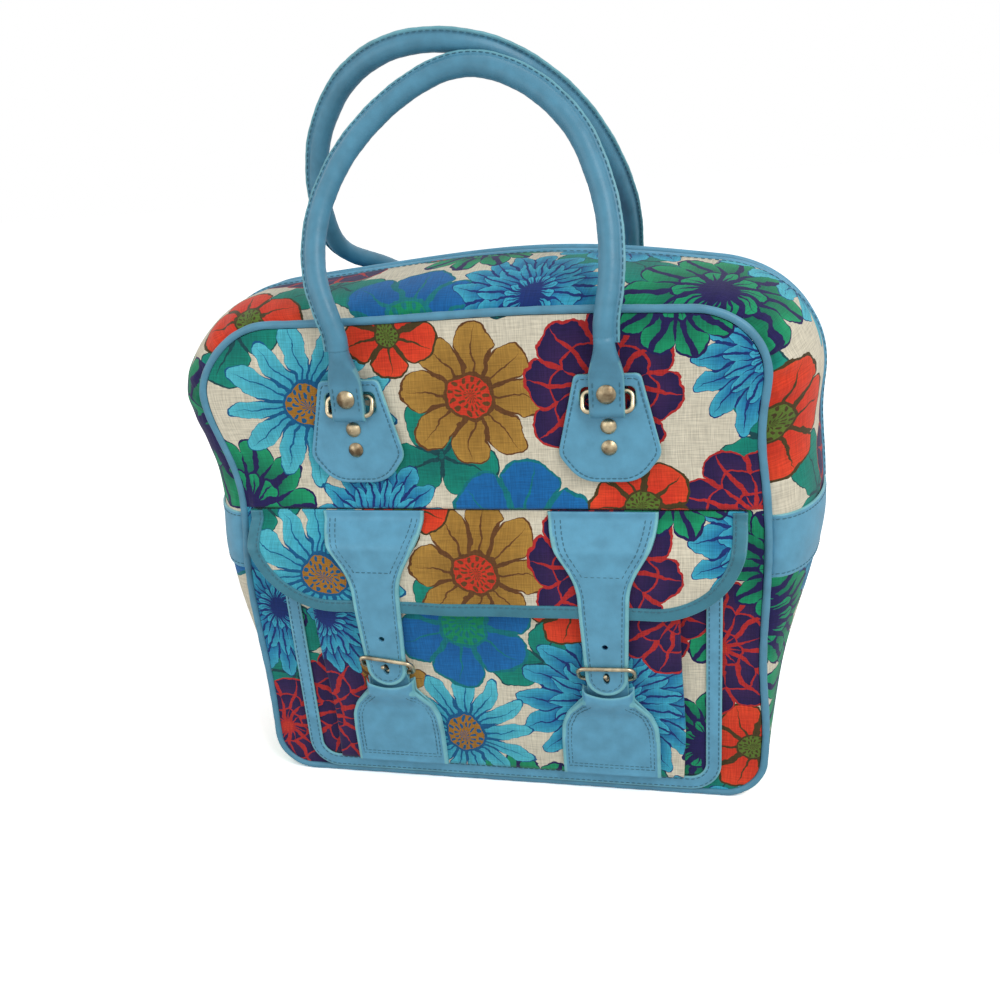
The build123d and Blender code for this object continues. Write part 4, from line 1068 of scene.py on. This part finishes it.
for place, arch in handle_arches.items():
    side = -1 if place == "front" else 1
    line = resample(rounded(arch), handle_steps)
    middle = handle_steps // 2
    ahead = unit(np.gradient(line, axis=0))
    plane_way = unit(np.cross(line[middle] - line[0], line[-1] - line[0]))
    outer_way = unit(np.cross(ahead, plane_way))
    if outer_way[middle, 2] < 0:
        outer_way = -outer_way
    section = handle_section()
    rim = (np.arange(len(section)) > 0) & (np.arange(len(section)) < 5)
    number = np.arange(handle_steps)
    crease = 1 + 0.012 * np.sin(number * 0.55) + 0.008 * np.sin(number * 1.7)
    tube = sweep(place + "_handle_tube", line, outer_way, section[None] * crease[:, None, None],
                 rim=rim[None])
    finish_piece(tube, handle_vinyl, place + "_handle", "blue_vinyl", place + "_handle")
    core = sweep(place + "_handle_cord", line[1:-1], outer_way[1:-1], oval(5, 5, 16))
    finish_piece(core, cord_fibre, place + "_handle", "cord", place + "_handle_core")
    fin_top = np.cross(ahead, outer_way)
    for turn_side, name in ((1, "near"), (-1, "far")):
        row = line + outer_way * 8.0 + fin_top * turn_side * 1.15
        stitch(f"{place}_handle_stitches_{name}", row, fin_top * turn_side, place + "_handle", 4.2)
    for hand, x in (("left", -tab_x), ("right", tab_x)):
        under = fold_reach * (1 - np.cos(np.linspace(0, np.pi / 2, 10)))
        heights = np.concatenate([
            ring_low_z - fold_reach + under, np.linspace(ring_low_z + 1, 306, 12),
            np.linspace(foot_flat, foot_start, 18), [foot_start + 4]])
        fold = np.where(
            heights < ring_low_z, np.sqrt(np.clip(fold_reach ** 2 - (ring_low_z - heights) ** 2, 0, 99)),
            np.interp(heights, [ring_low_z, ring_low_z + 5, 400], [fold_reach, foot_thick, foot_thick]))
        morph = ease((heights - foot_flat) / (foot_start - foot_flat))
        deep = np.maximum(fold * (1 - morph) + handle_radius * morph, 0.05)
        wide = foot_wide * (1 - morph) + handle_radius * morph
        out = np.interp(heights, [foot_flat, foot_start], [ring_low_out, 12.0])
        rings = oval(wide[:, None], deep[:, None], 32, (2 + 4 * (1 - morph))[:, None])
        foot_line = off_panel(x, out, heights, side)
        rim = (np.abs(rings[..., 0]) > wide[:, None] - 0.55) & (morph[:, None] < 0.5)
        foot = sweep(f"{place}_{hand}_handle_foot", foot_line, steady((1, 0, 0), foot_line), rings, rim)
        finish_piece(foot, handle_vinyl, place + "_handle", "blue_vinyl")
        for edge in (-1, 1):
            run = np.linspace(ring_low_z + 2, foot_flat - 1, 12)
            row = off_panel(x + edge * 8.3, ring_low_out + foot_thick, run, side)
            stitch(f"{place}_{hand}_foot_stitches_{'a' if edge < 0 else 'b'}", row,
                   steady((0, side, 0), row), place + "_handle", 3.6)


# Bottom board: dark grey millboard that lies inside the bag, on its floor.
# It can't be seen while the bag is closed, and is shown as the CAD has it.
stiff_board, tree, surface = new_material("stiff board")
pulp = put(tree, "ShaderNodeTexNoise", {"Scale": 220.0, "Detail": 5.0})
tone = blend_colour(tree, pulp.outputs[0], srgb(70, 66, 62), srgb(104, 98, 90))
tree.links.new(tone, surface.inputs["Base Color"])
surface.inputs["Roughness"].default_value = 0.9
keep_solid("base_board", stiff_board)


# Pocket: one sheet of the printed cloth, folded in a pleat down each side and open at the top.
# It lies nearly flat at the bottom and stands off the panel by 15 mm under the flap.
pocket_foot, pocket_top = 17, 188
strap_x = 78


def pocket_share(z):
    """How far the pocket has opened at height z: a little at the foot, fully at the top."""
    return 0.08 + 0.92 * (z - pocket_foot) / (pocket_top - pocket_foot)


def pocket_open(z):
    """How far the front of the pocket stands off the panel at height z."""
    return 5.4 + 9.5 * pocket_share(z)


def pocket_line(z):
    """Plan of the sheet's middle at height z, from the left edge round both pleats to the right."""
    share = pocket_share(z)
    back = 1.05 + 3.5 * share
    middle = 2.85 + 4.5 * share
    fold = 2.85 + 7.5 * share
    front = pocket_open(z) - 0.75
    half = [(150, 1.05), (142, 1.05), (116, back), (115.2, middle), (128, fold), (128, front)]
    points = [(-x, u) for x, u in half] + half[::-1]
    return round_corners(points, [0, 4, 0.5, 0.5, 0.7, 0.7, 0.7, 0.7, 0.5, 0.5, 4, 0], closed=False, steps=5)


heights = np.linspace(pocket_foot, pocket_top, 66)
section_steps = np.concatenate([
    np.linspace(0, 0.235, 70)[:-1], np.linspace(0.235, 0.765, 130), np.linspace(0.765, 1, 70)[1:]])
rows = []
for z in heights:
    line = resample(pocket_line(z), 1200)[np.round(section_steps * 1199).astype(int)]
    rows.append(np.column_stack([line[:, 0], line[:, 1], np.full(len(line), z)]))
sheet = np.stack(rows, 1)
x, u, z = sheet[..., 0], sheet[..., 1], sheet[..., 2]
on_face = 1 / (1 + np.exp(-(u - (pocket_open(z) - 3)) * 3)) * ramp((128 - np.abs(x)) / 22)
by_tab = bell(np.abs(x), strap_x, 42, 6) / (1 + np.exp((z - 97) / 3))
loose = (1.4 + 1.5 * np.sin(x / 31 + 1.2) * np.sin(z / 26) + 0.7 * np.sin(x / 14 - z / 19)) * (1 - by_tab)
sheet[..., 1] += on_face * np.clip(loose, 0, 3) * ramp((z - pocket_foot) / 25)
sheet[..., 0] += 1.6 * np.sin(z / 34 + 0.5) * ramp((np.abs(x) - 100) / 20) * ramp(
    (148 - np.abs(x)) / 8) * ramp((z - pocket_foot) / 40)
sheet = off_panel(*np.moveaxis(sheet, -1, 0))
out_way = normals_of(sheet)
flat = np.stack(np.meshgrid(walk_of(sheet[:, 33]), heights, indexing="ij"), -1) + (56, 84)
pocket = shell("pocket_cloth", sheet + out_way * 0.6, sheet - out_way * 0.6, flat)
finish_piece(pocket, linen, "bag", "printed_cloth", "pocket_front")

band_x, band_z, band_corner = 148.75, 11.25, 16.75
u_line = round_corners([(-band_x, pocket_top), (-band_x, band_z), (band_x, band_z), (band_x, pocket_top)],
                       [0, band_corner, band_corner, 0], closed=False, steps=24)
u_line = resample(u_line, 330)
out_of_panel = steady((0, -1, 0), u_line)


def left_of(line):
    """Unit vectors square to a flat line, on its left."""
    ahead = unit(np.gradient(line, axis=0))
    return np.stack([-ahead[:, 1], ahead[:, 0]], 1)


def band_path(inset, reach):
    """The band's middle line moved towards the inside of the pocket, at a reach off the panel."""
    flat_line = u_line + left_of(u_line) * inset
    return off_panel(flat_line[:, 0], reach, flat_line[:, 1])


edge = oval(0.85, 5.3, 20, 5)
band = sweep("pocket_band_strip", band_path(0, 2.5), out_of_panel, edge,
             rim=np.abs(edge[:, 1]) > 4.75)
finish_piece(band, blue_vinyl, "bag", "blue_vinyl", "pocket_band")
stitch("pocket_band_stitches_in", band_path(3.3, 3.3), out_of_panel)
stitch("pocket_band_stitches_out", band_path(-3.3, 3.3), out_of_panel)


# Flap: printed cloth, stiffened, bent over the top of the pocket and bound with vinyl.
# It hangs from the seam under the hem of the upper panel.
class Profile:
    """A sheet's side profile: how far its middle stands off the panel at each height."""

    def __init__(self, corners, bend):
        line = round_corners(corners, [bend] * len(corners), closed=False, steps=12)
        line = resample(line, 400)[::-1]
        self.reach, self.height = line.T
        self.facing = -left_of(line)

    def across(self, z):
        """The two shares, outwards and upwards, of the unit vectors square to the sheet at heights z."""
        return np.interp(z, self.height, self.facing[:, 0]), np.interp(z, self.height, self.facing[:, 1])

    def spot(self, x, z, lift, bulge=0.0):
        """Points at x and height z, lifted square to the sheet, in space."""
        out_u, out_z = self.across(z)
        reach = np.interp(z, self.height, self.reach) + (lift + bulge) * out_u
        return off_panel(x, reach, z + (lift + bulge) * out_z)

    def out(self, z):
        """Unit vectors square to the sheet at heights z."""
        out_u, out_z = self.across(z)
        return np.stack([np.zeros_like(out_u), -out_u, out_z], -1)


flap_seam, flap_half, flap_low, flap_corner = 218.7, 168, 149, 58
flap_side = Profile([(2.4, flap_seam), (2.4, 211), (17.6, 196), (17.6, 147)], 6)


def flap_bulge(x, z):
    """Soft waves of the flap, kept low under the straps and at the seam."""
    free = 1 - bell(np.abs(x), strap_x, 40, 4)
    free = free * ramp((215 - z) / 20)
    return free * (1.0 + 0.8 * np.sin(x / 24) * np.sin(z / 15) + 0.5 * np.sin(x / 11 + z / 9))


x = flap_half * np.sin(np.linspace(-np.pi / 2, np.pi / 2, 160))
over = np.clip(np.abs(x) - (flap_half - flap_corner), 0, flap_corner)
bottom = flap_low + flap_corner - np.sqrt(flap_corner ** 2 - over ** 2)
share = np.linspace(0, 1, 56)
z = bottom[:, None] + (flap_seam - bottom[:, None]) * share
wide = np.repeat(x[:, None], len(share), 1)
bulge = flap_bulge(wide, z)
flap = shell("flap_cloth", flap_side.spot(wide, z, 1.2, bulge), flap_side.spot(wide, z, -1.2, bulge),
             np.stack([wide, z], -1) + (192, 136))
finish_piece(flap, linen, "bag", "printed_cloth", "flap")

rim_line = round_corners(
    [(-flap_half, 218), (-flap_half, flap_low), (flap_half, flap_low), (flap_half, 218)],
    [0, flap_corner, flap_corner, 0], closed=False, steps=40)
rim_line = resample(rim_line, 300)


def rim_path(inset, lift):
    """A line round the flap's free edge, moved inwards on the cloth and lifted off it."""
    line = rim_line + left_of(rim_line) * inset
    return flap_side.spot(line[:, 0], line[:, 1], lift, flap_bulge(line[:, 0], line[:, 1]))


turn = np.linspace(-np.pi / 2, np.pi / 2, 14)
outer_end = np.stack([-4.1 - 1.0 * np.cos(turn[::-1]), 2.1 * np.sin(turn[::-1])], 1)
inner_end = np.stack([4.0 + 0.3 * np.cos(turn), 2.05 * np.sin(turn)], 1)
binding_profile = np.vstack([inner_end, outer_end])
middle = rim_path(4.0, 0.0)
across = rim_path(5.0, 0.0) - rim_path(3.0, 0.0)
binding = sweep("flap_binding_strip", middle, across, binding_profile,
                rim=(np.abs(binding_profile[:, 0]) > 4.15).astype(float) * 0.6)
finish_piece(binding, binding_vinyl, "bag", "blue_vinyl", "flap_binding")
stitch("flap_binding_stitches", rim_path(6.4, 2.15), flap_side.out(rim_line[:, 1]))


# Closing straps: two layers of vinyl with turned edges and two rows of stitches.
# They widen like a trumpet at the seam; the buckle prong goes through a slot near the tip.
strap_side = Profile([(5.0, flap_seam), (5.0, 213), (21.1, 198), (21.1, 149), (17.7, 100), (17.1, 86)], 6)
strap_tip, strap_round, flare_low = 89, 14.5, 160
tip_middle = strap_tip + strap_round
strap_wide, seam_wide = 17, 36


def strap_half(z):
    """Half the strap's width at height z: a straight taper, then a trumpet up to the seam."""
    share = np.linspace(0, 1, 60)
    drop = (seam_z - flare_low) * 0.45
    flare_x = cubic(share, seam_wide, seam_wide, strap_wide, strap_wide)
    flare_z = cubic(share, seam_z, seam_z - drop, flare_low + drop, flare_low)
    return np.interp(z, [tip_middle, flare_low, *flare_z[::-1][1:]],
                     [strap_round, strap_wide, *flare_x[::-1][1:]])


def strap_roll(off, z, side):
    """A strap's slight twist: how far it lifts at a distance from its middle line, at height z."""
    return 0.7 * np.sin(z / 23 + side * 1.1) * off / strap_wide * ramp((200 - z) / 20)


edge_steps = np.array([
    0, 0.004, 0.012, 0.024, 0.04, 0.055, 0.068, 0.076, 0.083, 0.09, 0.098, 0.108, 0.125, 0.15, 0.18])
across_steps = np.concatenate([edge_steps, np.linspace(0.22, 0.78, 16), 1 - edge_steps[::-1]]) * 2 - 1


def cut_hole(piece, place, size, turn=0.0):
    """Cuts an oblong hole straight through a piece, from front to back, and keeps its marks."""
    bpy.ops.mesh.primitive_cylinder_add(vertices=24, radius=1, depth=2)
    tool = bpy.context.object
    tool.data.transform(Matrix.Diagonal((size[0] / 1000, size[1] / 1000, 0.03, 1)))
    tool.data.transform(Matrix.Rotation(math.pi / 2, 4, "X"))
    tool.data.transform(Matrix.Rotation(turn, 4, "Y"))
    tool.data.transform(Matrix.Translation(np.array(place) / 1000))
    cutting = piece.modifiers.new("cut", "BOOLEAN")
    cutting.object = tool
    cutting.solver = "EXACT"
    view = bpy.context.evaluated_depsgraph_get()
    cut = bpy.data.meshes.new_from_object(piece.evaluated_get(view))
    piece.modifiers.clear()
    old, piece.data = piece.data, cut
    bpy.data.meshes.remove(old)
    tool_mesh = tool.data
    bpy.data.objects.remove(tool)
    bpy.data.meshes.remove(tool_mesh)


for side, hand in ((-1, "left"), (1, "right")):
    middle = side * strap_x
    rise = np.concatenate([
        strap_tip + strap_round * (1 - np.cos(np.linspace(0.03, np.pi / 2, 26))),
        np.linspace(tip_middle, flap_seam, 120)[1:]])
    half = np.where(rise < tip_middle,
                    np.sqrt(np.maximum(strap_round ** 2 - (tip_middle - rise) ** 2, 0)),
                    strap_half(rise))
    off = across_steps[:, None] * half[None]
    height = np.repeat(rise[None], len(across_steps), 0)
    from_edge = np.where(height < tip_middle,
                         strap_round - np.hypot(off, height - tip_middle), half - np.abs(off))
    from_edge = np.maximum(from_edge, 0)
    lift = edge_round(from_edge, 2.2, 1.2) - 1.1
    lift -= 0.75 * bell(from_edge, 3.0, 0.45) + 0.25 * ramp((from_edge - 3) / 1.5)
    lift += 0.2 * np.sin(height / 7 + side) * ramp(from_edge / 9)
    roll = strap_roll(off, height, side)
    outer = strap_side.spot(middle + off, height, lift, roll)
    inner = strap_side.spot(middle + off, height, -1.1, roll)
    strap = shell(hand + "_closing_strap", outer, inner, rim=from_edge < 2.7)
    cut_hole(strap, (middle, -108, 128), (2, 2))
    cut_hole(strap, (middle, -106, 103), (2.2, 4.5))
    finish_piece(strap, blue_vinyl, "bag", "blue_vinyl", hand + "_strap")
    sides = np.linspace(214, tip_middle, 60)
    tip_turn = np.linspace(0, np.pi, 30)[1:-1]
    reach_x = strap_half(sides) - 4.4
    rows = {"outer": (
        np.concatenate([-reach_x, -(strap_round - 4.4) * np.cos(tip_turn), reach_x[::-1]]),
        np.concatenate([sides, tip_middle - (strap_round - 4.4) * np.sin(tip_turn), sides[::-1]]),
    )}
    sides = np.linspace(214, 180, 30)
    reach_x = strap_half(sides) - 8.2
    foot_x = np.linspace(-reach_x[-1], reach_x[-1], 20)[1:-1]
    rows["inner"] = (np.concatenate([-reach_x, foot_x, reach_x[::-1]]),
                     np.concatenate([sides, np.full(18, 180.0), sides[::-1]]))
    for name, (line_x, line_z) in rows.items():
        line = strap_side.spot(middle + line_x, line_z, 0.78, strap_roll(line_x, line_z, side))
        stitch(f"{hand}_strap_stitches_{name}", line, strap_side.out(line_z))


# Lower tabs: two leaves of vinyl stitched together round the edge and to the pocket.
# The front leaf stands open at the mouth, where the strap's tip and the buckle's chape go in.
edge_steps = np.array([
    0, 0.003, 0.01, 0.02, 0.03, 0.038, 0.045, 0.05, 0.056, 0.063, 0.072, 0.085, 0.1, 0.13])
tab_steps = np.concatenate([edge_steps, np.linspace(0.17, 0.83, 22), 1 - edge_steps[::-1]]) * 2 - 1
cheek = round_corners([(34.5, 20), (34.5, 46), (33.6, 60), (29.5, 70), (17.8, 83), (17.8, 93)],
                      [0, 24, 20, 14, 1.2, 0], closed=False, steps=10)


def tab_half(z):
    """Half the lower tab's width at height z."""
    return np.interp(z, cheek[:, 1], cheek[:, 0])


slope_z = np.linspace(20, 93, 400)
slope_along = np.hypot(1, np.gradient(tab_half(slope_z), slope_z))


def front_leaf(off, z):
    """How far the front leaf's inside stands off the panel: flat below, bowed open at the mouth."""
    closed = pocket_open(z) + 1.6
    opened = 19.1 - 5.0 * ramp((np.abs(off) - 14.2) / 3.6) ** 1.5
    belly = 0.9 * bell(z, 48, 16) * bell(off, 0, 22)
    return closed + (opened - closed) * ease((z - 66) / 20) + belly


for side, hand in ((-1, "left"), (1, "right")):
    middle = side * strap_x
    share = np.linspace(0, 1, 60)
    top = 93 - 5 * (1 - tab_steps ** 2)
    z = pocket_foot + (top[:, None] - pocket_foot) * share[None]
    half = tab_half(z)
    off = tab_steps[:, None] * half
    from_side = (half - np.abs(off)) / np.interp(z, slope_z, slope_along)
    from_mouth = top[:, None] - z
    seam = np.minimum(from_side, z - pocket_foot)
    from_edge = np.minimum(seam, from_mouth)
    lift = edge_round(np.maximum(from_edge, 0), 1.2, 0.9)
    lift += 0.5 * ramp((3.3 - seam) / 0.8) * ramp((86 - z) / 4) * ramp(from_edge / 0.8)
    lift += 0.25 * np.sin(off / 8 + side) * np.sin(z / 9) * ramp(from_edge / 5)
    inside = front_leaf(off, z)
    outer, inner = off_panel(middle + off, inside + lift, z), off_panel(middle + off, inside, z)
    rim = (from_edge < 0.75) | ((from_side < 2.6) & (z < 85))
    leaf = shell(hand + "_tab_front_leaf", outer, inner, rim=rim)
    finish_piece(leaf, blue_vinyl, "bag", "blue_vinyl", hand + "_lower_tab")
    back = pocket_open(z) + 0.35
    outer = off_panel(middle + off, back + edge_round(np.maximum(from_edge, 0), 1.15, 0.8), z)
    inner = off_panel(middle + off, back, z)
    leaf = shell(hand + "_tab_back_leaf", outer, inner, rim=rim)
    finish_piece(leaf, blue_vinyl, "bag", "blue_vinyl")
    for inset, name in ((4.4, "outer"), (6.8, "inner")):
        edge_z = np.linspace(80, 20 + inset, 60)
        edge_x = tab_half(edge_z) - inset * np.interp(edge_z, slope_z, slope_along)
        foot_x = np.linspace(-edge_x[-1], edge_x[-1], 30)[1:-1]
        line_x = np.concatenate([-edge_x, foot_x, edge_x[::-1]])
        line_z = np.concatenate([edge_z, np.full(28, 20.0 + inset), edge_z[::-1]])
        line = off_panel(middle + line_x, front_leaf(line_x, line_z) + 1.1, line_z)
        stitch(f"{hand}_lower_tab_stitches_{name}", line, steady((0, -1, 0.1), line), pitch=3.6)


# Buckles: wire frames of pale plated steel, their heel bars held by a short vinyl chape.
# The left one sits askew in its chape, as it does in the photo. Each prong has an eye round the
# heel bar and an arm that leans down through the strap's slot.
buckle_width, buckle_wire = 41, 1.5
for side, hand, skew in ((-1, "left", -7.0), (1, "right", 1.5)):
    middle = np.array([side * strap_x, -101.0, 100.0])
    along = np.array([math.cos(math.radians(skew)), 0, math.sin(math.radians(skew))])
    up = np.array([0, -7.9, 12.0])
    height = float(np.linalg.norm(up))
    up = np.cross(along, np.cross(up / height, along))
    half = buckle_width / 2 - buckle_wire
    flat = round_corners([(-half, 0), (half, 0), (half, height), (-half, height)], [5] * 4)
    flat = resample(np.vstack([flat, flat[:1]]), 161)[:-1]
    line = middle + flat[:, :1] * along + flat[:, 1:] * up
    facing = steady(np.cross(along, up), line)
    buckle = sweep(hand + "_buckle_wire", line, facing, oval(buckle_wire, buckle_wire, 16), closed=True)
    finish_piece(buckle, pale_gold, hand + "_buckle", "light_metal", hand + "_buckle_frame")
    turn = np.radians(np.linspace(205, -25, 24))
    loop = np.stack([13.5 - 2.5 * np.cos(turn), 100 + 2.5 * np.sin(turn)], 1)
    path = np.vstack([[(13.5, 84), (13.6, 93)], loop, [(12.35, 93), (12.35, 84)]])
    path = resample(path, 80)
    line = off_panel(middle[0], path[:, 0], path[:, 1])
    lean = (line[:, 2] - 84) / 16
    tilt = np.radians(skew) * lean
    ways = np.stack([np.cos(tilt), np.zeros(80), np.sin(tilt)], 1)
    turns = oval(14, 0.48, 26, 7)
    chape = sweep(hand + "_buckle_strip", line, ways, turns, rim=np.abs(turns[:, 0]) > 13.4)
    cut_hole(chape, (middle[0], -101, 100), (2.4, 4.2))
    finish_piece(chape, blue_vinyl, "bag", "blue_vinyl", hand + "_buckle_chape")
    turn = np.linspace(0, 2 * np.pi, 25)[:-1]
    eye = middle + np.stack([np.zeros(24), 2.35 * np.cos(turn), 2.35 * np.sin(turn)], 1)
    eye = sweep(hand + "_prong_eye", eye, steady((1, 0, 0), eye), oval(1.7, 0.45, 12, 4), closed=True)
    finish_piece(eye, pale_gold, hand + "_prong", "light_metal", hand + "_prong")
    lean = math.radians(36)
    reach = np.array([2.3, 4, 7, 10, 12.6, 12.9, 13.5, 14.2, 14.8, 15.1])
    thick = np.array([1.0, 1.0, 1.0, 0.95, 0.9, 1.2, 1.5, 1.5, 1.1, 0.2])
    line = middle + np.stack([np.zeros(10), -reach * math.cos(lean), reach * math.sin(lean)], 1)
    arm = sweep(hand + "_prong_arm", line, steady((1, 0, 0), line),
                oval(1, 1, 14)[None] * thick[:, None, None])
    finish_piece(arm, pale_gold, hand + "_prong", "light_metal")
